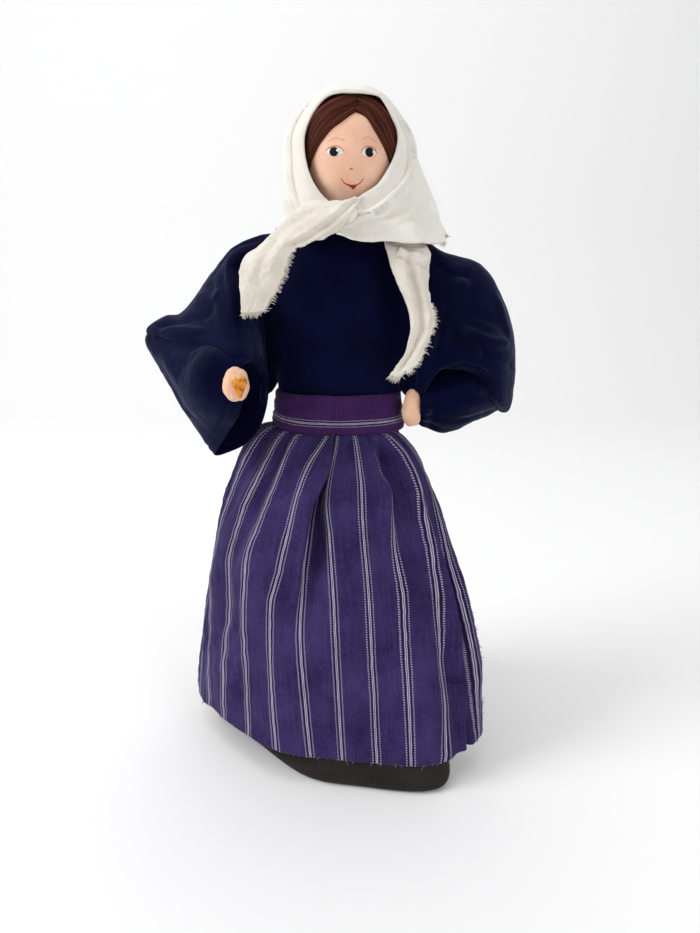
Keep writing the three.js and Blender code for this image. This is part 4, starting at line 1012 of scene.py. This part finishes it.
def reach_from(centre, directions, inside, longest=60.0):
    """Point where each direction from a centre leaves a solid."""
    d = unit(directions)
    low = np.zeros(d.shape[:-1])
    high = np.full(d.shape[:-1], longest)
    for _ in range(26):
        middle = (low + high) / 2
        is_in = inside(centre + d * middle[..., None])
        low = np.where(is_in, middle, low)
        high = np.where(is_in, high, middle)
    return centre + d * low[..., None]


def on_head(directions, lift=0.0):
    return reach_from(head_centre, directions, lambda p: in_head(p, lift))


def on_face(x, z, lift=0.0):
    """Point on the face in front of (x, z), which are offsets from the head's middle and top."""
    x, z = np.asarray(x, float), np.asarray(z, float)
    share = (z + head_height) / head_height
    width = head_width(share)
    forward = np.sqrt(np.maximum(1 - (x / (head_half_width * width)) ** 2, 0))
    p = np.stack([head_x + x, head_mid_y(share) - head_half_depth * width * forward, head_top + z], -1)
    return p + unit(p - head_centre) * np.asarray(lift)[..., None]


def head():
    # One degree round the head is 0.3 mm of its cloth
    directions, uv = sphere(160, 110, 89.4, math.degrees(0.3), head_half_depth)
    grid = on_head(directions)
    lumps = waves(61, 20, 5.0, 18.0)(grid[..., 0], grid[..., 2])
    grid = grid + (grid - head_centre) * 0.004 * lumps[..., None]
    piece = closed_piece("head_cloth", grid, face_look, uv=uv)
    fit(piece, "head", "face_cloth", "head")


head()


def patch(name, outline, look, height=0.2, base=0.04):
    """Thin domed patch on the face, inside a closed outline of (x, z) offsets, its rim a base high."""
    edge = curve(outline, True)(np.arange(48) / 48)
    middle = edge.mean(0)
    shares = np.linspace(1, 0.02, 8)
    flat = middle + (edge[:, None] - middle) * shares[None, :, None]
    lift = base + height * (1 - shares**2)
    top = on_face(flat[..., 0], flat[..., 1], lift[None] + 0 * flat[..., 0])
    under = on_face(flat[:, ::-1, 0], flat[:, ::-1, 1], -0.25 + 0 * flat[..., 0])
    piece = closed_piece(name, np.concatenate([under, top], 1), look)
    fit(piece, "head", "face_cloth")


def stroke(name, points, widths, look, height=0.14):
    """Painted line on the face along (x, z) offsets, tapering by widths."""
    t = np.linspace(0, 1, 40)
    path = curve(points)(t)
    width = profile(list(zip(np.linspace(0, 1, len(widths)), widths)))(t)
    along = np.gradient(path, axis=0)
    side = unit(np.stack([-along[:, 1], along[:, 0]], -1))
    turn = np.radians(np.arange(12) * 30)
    flat = path[None] + side[None] * (np.cos(turn)[:, None] * width[None] / 2)[..., None]
    lift = np.sin(turn)[:, None] * np.minimum(height, width[None]) + 0 * flat[..., 0]
    piece = closed_piece(name, on_face(flat[..., 0], flat[..., 1], lift), look)
    fit(piece, "head", "face_cloth")


def oval(x, z, half_width, half_height):
    turns = [math.tau * k / 8 for k in range(8)]
    return [(x + half_width * math.cos(a), z + half_height * math.sin(a)) for a in turns]


def face():
    right_eye = [(-8.4, -18.3), (-7.2, -17.4), (-5.3, -17.0), (-3.5, -17.7), (-2.6, -18.9)]
    left_eye = [(3.5, -18.8), (4.5, -17.5), (6.2, -17.1), (7.8, -17.8), (8.3, -18.8)]
    patch("right_eye_white", right_eye + [(-3.8, -19.4), (-5.6, -19.6), (-7.4, -19.1)], white_paint)
    patch("left_eye_white", left_eye + [(7.1, -19.6), (5.5, -19.8), (4.2, -19.5)], white_paint)
    patch("right_pupil", oval(-5.7, -18.35, 1.5, 1.4), black_paint, 0.1, 0.26)
    patch("left_pupil", oval(6.05, -18.5, 1.42, 1.45), black_paint, 0.1, 0.26)
    # The white patches on the pupils are painted highlights
    patch("right_painted_highlight", [(-4.9, -17.9), (-4.4, -17.6), (-4.1, -18.1),
                          (-4.5, -18.5)], white_paint, 0.06, 0.4)
    patch("left_painted_highlight", [(7.0, -18.2), (7.4, -18.0), (7.7, -18.5), (7.3, -18.8)], white_paint, 0.06, 0.4)
    stroke("right_lid", [(-8.7, -18.1), (-7.3, -17.0), (-5.3, -16.6), (-3.3, -17.3),
                         (-2.2, -18.7)], [0.1, 0.3, 0.3, 0.2, 0.1], lid_paint)
    stroke("left_lid", [(3.1, -18.8), (4.3, -17.2), (6.1, -16.7), (7.9, -17.4),
                        (8.6, -18.6)], [0.1, 0.2, 0.3, 0.3, 0.1], lid_paint)
    stroke("right_brow", [(-8.1, -15.5), (-5.7, -14.1), (-2.1, -14.9)], [0.12, 0.35, 0.12], brow_paint, 0.08)
    stroke("left_brow", [(2.9, -14.9), (5.6, -13.8), (8.3, -15.1)], [0.12, 0.35, 0.12], brow_paint, 0.08)
    patch("nose_dot", [(-0.7, -23.8), (0, -23.45), (0.7, -23.8), (0, -24.1)], nose_paint, 0.12)
    stroke("lips", [(-3.4, -26.5), (-2.4, -27.9), (-0.8, -28.7), (1.0, -28.8), (2.6, -28.3),
                    (4.2, -26.7)], [0.22, 0.3, 0.45, 0.45, 0.3, 0.2], lip_paint)
    patch("lower_lip", [(-0.8, -28.8), (0.5, -28.6), (2.0, -28.6), (1.4, -29.4), (0.7, -30.0),
                        (0.0, -29.5)], lip_paint, 0.2)


face()

# Hair: laid threads on each side of the parting, from the forehead back under the kerchief
hair_inner = {
    "right": [(1.6, -5.6), (-2.7, -8.7), (-6.7, -11.4), (-9.8, -14.9), (-12.4, -18.6), (-14.6, -23.1),
              (-15.2, -28)],
    "left": [(1.6, -5.6), (4.9, -7.5), (7.6, -11.4), (9.9, -14.9), (11.9, -18.3), (13.6, -22.4),
             (14.4, -28)],
}


def hair_half(side):
    sign = -1 if side == "right" else 1
    columns, rows = 150, 90
    t = np.linspace(0, 1, rows)
    front = curve(hair_inner[side])(t)
    inner = on_face(front[:, 0], front[:, 1]) - head_centre
    # The outer line: from the crown round to behind the ear
    outer = curve([(1.6, 4, 17.5), (sign * 7, 6, 16), (sign * 12, 7, 10), (sign * 15, 6, 2),
                   (sign * 15, 4, -6), (sign * 14, 1, -12)])(t)
    share = np.linspace(0, 1, columns)[:, None, None]
    directions = unit(inner)[None] * (1 - share) + unit(outer)[None] * share
    strands = share[..., 0] * 40
    place = strands + 0.8 * np.sin(t * 3.0)[None]
    ridge = np.abs(np.sin(place * math.pi)) ** 0.6
    uneven = waves(70 + sign, 20, 0.8, 4.0)(place * 2.0, 3 * t[None])
    crown = 1.9 * smooth(0.75, 0.1, t)[None] * smooth(0.05, 0.34, share[..., 0])
    rise = smooth(0, 0.05, share[..., 0]) * (1.15 + crown + 0.3 * ridge + 0.2 * uneven)
    points = on_head(directions)
    grid = points + unit(points - head_centre) * (0.1 + rise)[..., None]
    uv = np.stack([place * 0.9, np.broadcast_to(t * 30, place.shape)], -1)
    piece = cloth_piece(f"hair_{side}_threads", grid, 0.9, hair_look, uv=uv, outward=-sign)
    fit(piece, "head", "hair_thread", f"hair_{side}")


hair_half("right")
hair_half("left")


# Kerchief
hood_share = profile([
    (205.0, 1.0), (226, 1.0), (232, 0.98), (237.7, 0.86), (243.2, 0.68), (246.7, 0.51), (248.7, 0.33),
    (249.7, 0.06),
])


def hood_radius(degrees, z):
    below = np.maximum(hood_equator - z, 0)
    to_left = np.maximum(np.cos(np.radians(degrees - 12)), 0)
    to_back = np.sin(np.radians(degrees))
    flare = 0.46 * to_left**2 + 0.1 * np.maximum(to_back, 0)
    drawn_in = 0.06 * np.maximum(-to_back, 0) ** 4
    return ellipse(*hood_half, degrees) * hood_share(z) + below * (flare - drawn_in)


hood_middle = np.array([*hood_centre, 226.0])


def in_hood(p):
    x, y = p[..., 0] - hood_centre[0], p[..., 1] - hood_centre[1]
    degrees = np.degrees(np.arctan2(y, x))
    return (np.hypot(x, y) < hood_radius(degrees, p[..., 2])) & (p[..., 2] < hood_equator + hood_rise)


# Edge of the kerchief around the face, from the chin by the doll's left over the top, as (x, y, z), with
# x from the head's middle and z from its top
face_edge = [
    (-2.1, -18.9, -35.2), (4.0, -18.6, -31.8), (9, -17.8, -28.6), (13.1, -16.1, -23.0), (15.4, -14.4, -18.5),
    (16.5, -13, -14), (15.9, -13, -9.4), (14.4, -13, -6.7), (12, -12.8, -2.9), (9.3, -12.6, -0.2),
    (4.5, -12.6, 0.5), (0, -12.6, 0.6), (-5, -12.6, 0.5), (-8.5, -12.6, -0.6), (-12.5, -12.8, -4.5),
    (-15.4, -13, -9.9), (-16.3, -13.5, -14.5), (-15.7, -13.6, -20.9), (-13.6, -14.6, -26.8),
    (-9.6, -16.2, -32.4),
    (-5.9, -17.7, -34.9),
]
drape_hem_radius = profile([
    (-84, 26), (-60, 29.5), (-45, 32), (0, 34.5), (16, 35.5), (50, 27), (70, 21), (90, 18.5),
    (110, 20.5), (135, 24.5), (180, 25.5), (225, 26), (248, 26),
])
drape_length = profile([
    (-84, 6.2), (-45, 8.4), (-10, 6.5), (16, 3.9), (50, 18.7), (75, 34.7), (90, 39.7),
    (105, 34.7), (135, 17.7), (180, 4.2), (225, 3.2), (248, 3.2),
])
# Wrinkles of the kerchief, as the sleeves' folds
kerchief_folds = [
    ([(22, -8, 216), (17, -15, 210), (10, -21, 205.5)], 0.5, 1.3, 0.25),
    ([(31, 0, 217), (26, -10, 208), (19, -17, 202)], 0.6, 1.8, 0.3),
    ([(33, 6, 214), (33, -4, 206), (29, -12, 200)], 0.5, 1.8, 0.2),
    ([(8, -23.5, 203.5), (15, -21, 203), (22, -15, 203.5)], 0.4, 1.3, 0.2),
    ([(-18.5, 0, 224), (-17.5, -6, 215), (-15, -12, 209)], 0.6, 1.4, 0.25),
    ([(12, -8, 249), (4, 3, 250), (-6, 8, 248)], 0.3, 1.8, 0.1),
    ([(26, 6, 234), (20, 14, 240), (8, 18, 243)], 0.4, 2.2, 0.1),
    ([(24, 10, 222), (14, 22, 218), (0, 26, 216)], 0.6, 2.6, 0.2),
    ([(-14, 14, 228), (-8, 20, 218), (0, 24, 208)], 0.5, 2.4, 0.2),
]


def blend_at_neck(piece):
    """Bakes the piece's transform into its mesh."""
    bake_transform(piece)


def kerchief():
    columns, hood_rows, drape_rows = 300, 115, 42
    t = np.linspace(0, 1, columns)
    edge = curve([(head_x + x, y, head_top + z) for x, y, z in face_edge], True)(t * (1 - 1e-6))
    neck_degrees = lerp(-100.0, 248.0, t)
    neck = around(hood_radius(neck_degrees, hood_bottom), neck_degrees, hood_bottom, hood_centre)
    e, n = unit(edge - hood_middle), unit(neck - hood_middle)
    m = unit(e + n + (np.sin(math.pi * t) ** 2)[:, None] * np.array([0, 0.5, 1.0]))
    s = np.linspace(0, 1, hood_rows)[None, :, None]
    directions = e[:, None] * (1 - s) ** 2 + 2 * m[:, None] * s * (1 - s) + n[:, None] * s**2
    hood = reach_from(hood_middle, directions, in_hood)
    # The edge itself is drawn close round the face
    hood = hood + (edge[:, None] - hood[:, :1]) * (1 - smooth(0, 0.22, s))
    drop = np.linspace(0, 1, drape_rows + 1)[None, 1:]
    degrees = neck_degrees[:, None]
    z = lerp(hood_bottom, hood_bottom - drape_length(degrees), drop)
    radius = lerp(hood_radius(degrees, hood_bottom), drape_hem_radius(degrees), drop**0.8)
    # The hem ripples
    radius = radius + 1.1 * waves(88, 12, 14.0, 34.0)(degrees, 0) * drop
    z = z + 0.8 * waves(89, 12, 12.0, 40.0)(degrees, 0) * drop
    drape = around(radius, degrees, z, hood_centre)
    grid = np.concatenate([hood, drape], 1)
    # Ease the turn from hood to drape
    place = np.arange(grid.shape[1])
    ease = bell(place, hood_rows, 13)[None, 1:-1, None]
    for _ in range(110):
        grid[:, 1:-1] = lerp(grid[:, 1:-1], (grid[:, 2:] + grid[:, :-2]) / 2, 0.5 * ease)
    arc = np.zeros(grid.shape[:2])
    arc[:, 1:] = np.cumsum(np.linalg.norm(np.diff(grid, axis=1), axis=-1), 1)
    n = normals_of(grid)
    # Thin rolled rim, a folded band, and a double crease where the band ends
    at_sides = smooth(0.0, 0.05, t)[:, None] * smooth(1, 0.95, t)[:, None]
    on_top = bell(t, 0.52, 0.12)[:, None]
    width = lerp(7.8, 5.0, on_top) + 0.5 * waves(83, 8, 0.12, 0.4)(t, 0)[:, None]
    strength = at_sides * (1 - 0.75 * on_top) * (1 + 0.7 * smooth(0.45, 0.3, t))[:, None]
    relief = 0.3 * bell(arc, 0.5, 0.5) + strength * (
        0.7 * smooth(width + 0.7, width - 0.2, arc) - 0.75 * bell(arc, width + 0.5, 0.5)
        + 0.35 * bell(arc, width + 1.4, 0.6) - 0.6 * bell(arc, width + 2.3, 0.55)
    )
    place_u = t[:, None] * 150
    relief = relief + 0.4 * waves(81, 26, 10.0, 40.0)(arc, place_u) * smooth(2, 8, arc)
    relief = relief + 0.12 * waves(84, 40, 2.5, 8.0)(arc, place_u) * smooth(6, 12, arc)
    for line, depth, wide, lip in kerchief_folds:
        relief = relief + crease(grid, n, line, depth, wide, lip)
    grid = grid + n * relief[..., None]
    piece = cloth_piece("kerchief_cloth", grid, kerchief_cloth, kerchief_look, outward=1)
    hem = grid[:, -1] - n[:, -1] * kerchief_cloth / 2
    away = unit(grid[:, -1] - grid[:, -3])
    pick = np.random.default_rng(85).choice(np.flatnonzero((neck_degrees > -20) & (neck_degrees < 70)), 260)
    fringe = threads_piece("kerchief_hem_threads", hem[pick], away[pick], 1.6, 0.28, linen_look, 86)
    for obj in (piece, fringe):
        blend_at_neck(obj)
    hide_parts("kerchief_hood", "kerchief_drape")


kerchief()

# Ends of the kerchief: upper and lower edge of the right one, inner and outer edge of the left one
right_end = dict(
    first=[
        (4, -22, 209.0), (1.7, -26, 209.6), (-1.9, -27, 210.2), (-5.9, -26, 210.9), (-9.9, -24.5, 210.1),
        (-14, -23, 207.4), (-17.9, -22, 204), (-22.4, -21.5, 199.9), (-26.5, -22, 196.4),
        (-30.1, -23.5, 194),
        (-31.9, -25.5, 189.8), (-32.2, -27, 183.6), (-32.1, -28, 174.7),
    ],
    second=[
        (9.5, -22.5, 209), (8.5, -27, 211.4), (5.9, -28.5, 208.2), (3.6, -28, 204.2), (0.6, -26.5, 200.9),
        (-4.7, -25.5, 198.4), (-10.1, -24.5, 196.9), (-14.2, -24, 195.3), (-16.2, -24.5, 192.7),
        (-17.3, -25, 189.1), (-18.3, -25.5, 185.6), (-21.5, -26, 180.3), (-25.3, -26.5, 175.1),
    ],
    folds=[
        ([(7.8, -29, 211.2), (5.2, -29, 209.3), (2, -28.5, 206.6), (-2.3, -27.5, 203.3),
          (-9.7, -25.5, 198.9), (-16, -24.5, 196)], 1.0, 0.9, 0.5),
        ([(-3, -27, 208), (-13, -24, 204), (-23, -22.5, 196)], 0.35, 1.3, 0.25),
        ([(-18, -23, 200), (-24, -24, 192), (-27, -26, 182)], 0.4, 1.5, 0.3),
    ],
    frayed=0.62,
)
left_end = dict(
    first=[
        (17, -15, 200), (17, -18.5, 197), (17.9, -20, 193.2), (19.3, -21.5, 188.5), (21.8, -22, 182.6),
        (24.6, -22.5, 175.9), (25.7, -23, 170.2), (25.7, -23, 165.5), (24.6, -23, 161.3), (22.6, -23, 157.6),
        (19.1, -23, 152.9),
    ],
    second=[
        (31, -6, 200.5), (31.5, -11, 197.5), (32.6, -14, 194.7), (32.1, -17, 189.3), (32, -19, 183.6),
        (33.1, -20, 177.5), (34.2, -21, 171.8), (32.9, -22, 167), (30.5, -22.5, 161.5), (27.4, -23, 156.7),
        (22.6, -23, 152.1),
    ],
    folds=[
        ([(23.5, -19, 196), (25.1, -21.5, 191.2), (27.2, -22.5, 183.6), (29, -23.5, 176.9),
          (29.4, -24, 170.2), (27.2, -24, 163.4), (23.8, -24, 157.5), (21, -24, 153.5)], 2.0, 1.5, 0.9),
        ([(20.6, -20, 196), (25, -20.5, 194.5), (31.5, -15, 191)], -1.9, 1.3, 0.0),
        ([(20, -21, 193.5), (25, -21, 192), (31, -16, 188.5)], 0.7, 0.8, 0.3),
        ([(19.5, -20, 199), (25, -19, 198), (31, -12, 196.5)], 0.5, 0.8, 0.2),
    ],
    frayed=0.5,
)


def kerchief_end(name, shape, seed):
    columns, rows = 90, 260
    t = np.linspace(0, 1, rows)
    a, b = (curve(shape[edge])(t) for edge in ("first", "second"))
    across = np.linspace(0, 1, columns)[:, None, None]
    grid = a[None] * (1 - across) + b[None] * across
    width = np.linalg.norm(a - b, axis=-1)[None, :, None]
    grid = grid - np.array([0, 1, 0]) * 0.5 * across * (1 - across) * width
    uv = cloth_uv(grid)
    n = -normals_of(grid)
    relief = 0.3 * waves(seed, 20, 5.0, 20.0)(uv[..., 0], uv[..., 1])
    relief = relief + 0.1 * waves(seed + 7, 30, 1.5, 5.0)(uv[..., 0], uv[..., 1])
    for line, depth, wide, lip in shape["folds"]:
        relief = relief + crease(grid, n, line, depth, wide, lip, 0.12)
    grid = grid + n * relief[..., None]
    # Cut edges run unevenly
    uneven = 0.35 * waves(seed + 9, 24, 0.02, 0.09)(t, 0)
    grid[-6:] += ((b - a) / width[0])[None] * (uneven * smooth(0.3, 0.5, t))[None, :, None]
    piece = cloth_piece(name, grid, kerchief_cloth, linen_look, uv=uv, outward=-1)
    rng = np.random.default_rng(seed + 11)
    start = int(shape["frayed"] * rows)
    side = rng.integers(start, rows, 240)
    end = rng.integers(0, columns, 170)
    # The threads start inside the cloth and hang
    roots, ways = fray(grid, side, end, 3)
    roots = roots + np.array([0, 0.4, 0])
    ways = ways + np.array([0, 0, -0.35])
    fringe = threads_piece(name + "_threads", roots, ways, 1.4, 0.34, linen_look, seed + 13)
    return piece, fringe


def kerchief_ends():
    end, fringe = kerchief_end("kerchief_right_end", right_end, 91)
    for obj in (end, fringe):
        blend_at_neck(obj)
    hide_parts("kerchief_tail_right")
    end, fringe = kerchief_end("kerchief_left_end", left_end, 111)
    for obj in (end, fringe):
        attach(obj, "torso")
    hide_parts("kerchief_tail_left")


kerchief_ends()


def ball(name, centre, half, look, body, node, slot, seed, roundness=1.0, taper=0.0):
    """Soft lump: roundness 1 is an egg, less squares its sides off. taper narrows its top."""
    way, uv = sphere(90, 60, 89, half[0], half[2])
    size = 1 + 0.03 * waves(seed, 16, 0.6, 2.0)(way[..., 0] * 2, way[..., 2] * 2)
    way = np.sign(way) * np.abs(way) ** roundness
    way[..., :2] *= 1 - taper * way[..., 2:]
    grid = np.array(centre) + way * np.array(half) * size[..., None]
    piece = closed_piece(name, grid, look, uv=uv)
    fit(piece, body, slot, node)
    return piece


ball(
    "kerchief_knot_cloth", knot_centre + [1.5, 0, 1], (4.0, 3.0, 3.6), kerchief_look,
    "head", "kerchief_knot", "kerchief_cloth", 95,
)
# Half sizes, roundness and taper of each hand
hands = {"right": ((4.3, 4.6, 5.7), 0.92, 0.06), "left": ((3.5, 4.2, 7.0), 0.84, 0.17)}
for side, (half, roundness, taper) in hands.items():
    piece = ball(
        f"{side}_hand_felt", arms[side]["hand"], half, hand_look,
        f"{side}_forearm", f"{side}_hand", "hand_felt", 96, roundness, taper,
    )


# What is inside: wadding round the dowel, the neck, and the wrapped padding on the arm wires
def round_spine(name, node, side, look, slot):
    """Soft body round the dowel: side is its outer face, from its lowest to its highest ring."""
    reach = np.linalg.norm(side[:, :, :2] - spine[:2], axis=-1)
    rings = []
    for row, shares in ((0, (0.0, 0.35, 0.7, 0.9)), (-1, (0.9, 0.7, 0.35, 0.0))):
        for share in shares:
            radius = lerp(spine_bore, reach[:, row], share)
            ring = spine + (side[:, row] - spine) * (radius / reach[:, row])[:, None]
            ring[:, 2] = side[:, row, 2] + (0.24 if row == 0 else -0.24) * (1 - share) ** 2
            rings.append(ring)
    grid = np.stack(rings[:4] + [side[:, k] for k in range(side.shape[1])] + rings[4:], 1)
    piece = hollow_piece(name, grid, look)
    fit(piece, "torso", slot, node)


def stuffing():
    degrees = full_turn(200)
    z = np.linspace(5.7, 132.6, 90)[None]
    lumps = 0.25 * waves(101, 20, 8.0, 26.0)(degrees * 0.7, z)
    under_gathers = 3.2 * smooth(10, 90, z)
    radius = skirt_radius(degrees, z) - hollow(degrees, z) - skirt_cloth - 0.7 - under_gathers
    radius = radius + np.minimum(lumps, 0.2)
    side = around(radius, degrees, z)
    round_spine("skirt_wadding", "skirt_stuffing", side, stuffing_look, "wadding")
    z = np.linspace(133.7, neck_top - 1.5, 70)[None]
    share = torso_share(z)
    radius = ellipse(blouse_width(share), blouse_depth(share), degrees) - blouse_cloth - 0.8
    side = around(radius + np.minimum(lumps[:, :70], 0.2), degrees, z)
    round_spine("torso_wadding", "torso_stuffing", side, stuffing_look, "wadding")
    z = np.linspace(neck_top - 1.0, head_bottom - 0.4, 24)[None]
    waist = neck_radius - 0.5 * bell(z, 205.5, 2.5)
    side = around(waist + 0 * degrees, degrees, z, (spine[0], spine[1]))
    round_spine("neck_cloth", "neck", side, face_look, "face_cloth")


def limb_padding(side, part, start, stop, radius):
    """Wadding wrapped round a wire, from a start past one joint to a stop short of the next."""
    first, last = ("shoulder", "elbow") if part == "upper_arm" else ("elbow", "wrist")
    a, b = (np.array(arms[side][joint], float) for joint in (first, last))
    length = np.linalg.norm(b - a)
    axis = (b - a) / length
    stop = length - stop
    across = np.cross(axis, [0, 0, 1.0])
    across /= np.linalg.norm(across)
    up = np.cross(across, axis)
    turn = np.radians(np.arange(0, 360, 4.5))[:, None]
    share = np.linspace(0, 1, 110)[None]
    thick = profile([(0, 0.45), (0.04, 0.8), (0.35, 1), (0.65, 0.97), (0.95, 0.82), (1, 0.45)])(share)
    run = start + (stop - start) * share
    wrapped = 0.05 * np.cos(turn - math.tau * run / 1.1) + 0.05 * np.cos(turn + math.tau * run / 2.7)
    outer = (radius - 0.15) * thick + wrapped
    bore = np.full((len(turn), 1), wire_bore)
    radii = np.concatenate([bore, outer, bore], 1)
    runs = np.concatenate([run[:, :1], run, run[:, -1:]], 1)
    outward = np.cos(turn)[..., None] * across + np.sin(turn)[..., None] * up
    grid = a + axis * runs[..., None] + radii[..., None] * outward
    piece = hollow_piece(f"{side}_{part}_wadding", grid, stuffing_look)
    fit(piece, f"{side}_{part}", "wadding", f"{side}_{part}_padding")


def peg():
    """Rounded wedge held flat against the palm, wide at the top."""
    outline = [(-2.5, 1.3), (-1.6, 2.5), (0.2, 3.1), (1.9, 2.5), (2.4, 1.2), (1.6, -1.4), (0.6, -3.9),
               (-0.2, -4.1), (-1.2, -2.0)]
    edge = curve(outline, True)(np.arange(64) / 64)
    low, high = (np.array(corner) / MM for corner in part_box("right_hand_peg"))
    middle = (low + high) / 2
    front, back = low[1] - 0.1, high[1]
    rings = [
        (0.02, back), (0.5, back), (0.94, back), (1.0, back - 0.3), (1.0, front + 1.2), (0.97, front + 0.6),
        (0.9, front + 0.25), (0.75, front + 0.08), (0.5, front), (0.02, front),
    ]
    grid = np.stack([
        np.stack([middle[0] + share * edge[:, 0], np.full(64, y), middle[2] + share * edge[:, 1]], -1)
        for share, y in rings
    ], 1)
    piece = closed_piece("right_hand_wedge", grid, peg_look, outward=-1)
    fit(piece, "right_forearm", "peg_wood", "right_hand_peg")


spine = np.array([3.0, 0.0, 0.0])
spine_bore, wire_bore, neck_radius = 2.8, 1.1, 6.5
stuffing()
for side in arms:
    limb_padding(side, "upper_arm", 5.0, 6.5, 3.4)
    limb_padding(side, "forearm", 6.5, 6.3, 2.8)
peg()

# Finish of the pieces that keep their construction shape
node_looks = {
    "base_sole": felt_look, "base_board": board_look, "spine_dowel": dowel_look, "shoulder_wire": wire_look,
}
for side in arms:
    for part in ("upper_arm", "forearm"):
        node_looks[f"{side}_{part}_wire"] = wire_look
for node, look in node_looks.items():
    obj = bpy.data.objects[node]
    obj.data.materials.clear()
    obj.data.materials.append(look)


# Stage: pale floor that sweeps up behind, soft light, and the camera
def stage():
    near, back, sweep, top, half_width, steps = -900, 700, 300, 1800, 1600.0, 20
    bend = np.linspace(0.05, math.pi / 2, steps)
    wall = np.full(steps, back + sweep)
    run = np.concatenate([np.linspace(near, back, steps), back + sweep * np.sin(bend), wall])
    climb = np.linspace(1.1 * sweep, top, steps)
    rise = np.concatenate([np.zeros(steps), sweep * (1 - np.cos(bend)), climb])
    x = np.array([-half_width, half_width])[:, None]
    grid = np.stack([x + 0 * run, run + 0 * x, rise + 0 * x], -1)
    look = Look("floor", Roughness=0.8, Specular_IOR_Level=0.2)
    look.shader.inputs["Base Color"].default_value = (0.93, 0.93, 0.935, 1)
    faces, _ = grid_faces(2, 3 * steps, False, True)
    mesh_piece("floor", grid.reshape(-1, 3), faces.tolist(), look.material)


stage()


def light(name, place, aim, size, power):
    data = bpy.data.lights.new(name, "AREA")
    data.shape = "DISK"
    data.size = size
    data.energy = power
    obj = link(name, data)
    obj.location = place
    obj.rotation_euler = (Vector(aim) - Vector(place)).to_track_quat("-Z", "Y").to_euler()


light("key", (-1.1, -0.34, 0.85), (0, 0, 0.13), 0.7, 10.5)
light("fill", (0.8, -0.8, 0.6), (0, 0, 0.13), 0.8, 3.2)
light("top", (0.0, 0.2, 1.5), (0, 0, 0.1), 1.2, 6.5)

world = bpy.context.scene.world or bpy.data.worlds.new("studio")
bpy.context.scene.world = world
world.use_nodes = True
background = next(n for n in world.node_tree.nodes if n.type == "BACKGROUND")
background.inputs[0].default_value = (1, 1, 1, 1)
background.inputs[1].default_value = 0.44
bpy.context.scene.view_settings.view_transform = "Standard"

# The photograph's view: place in metres, and degrees below level
camera_place, camera_tilt = (0.0046, -0.27, 0.185), 14.865
camera_data = bpy.data.cameras.new("camera")
camera_data.lens = 27.0
camera = link("camera", camera_data)
camera.location = camera_place
camera.rotation_euler = (math.radians(90 - camera_tilt), 0, 0)
bpy.context.scene.camera = camera
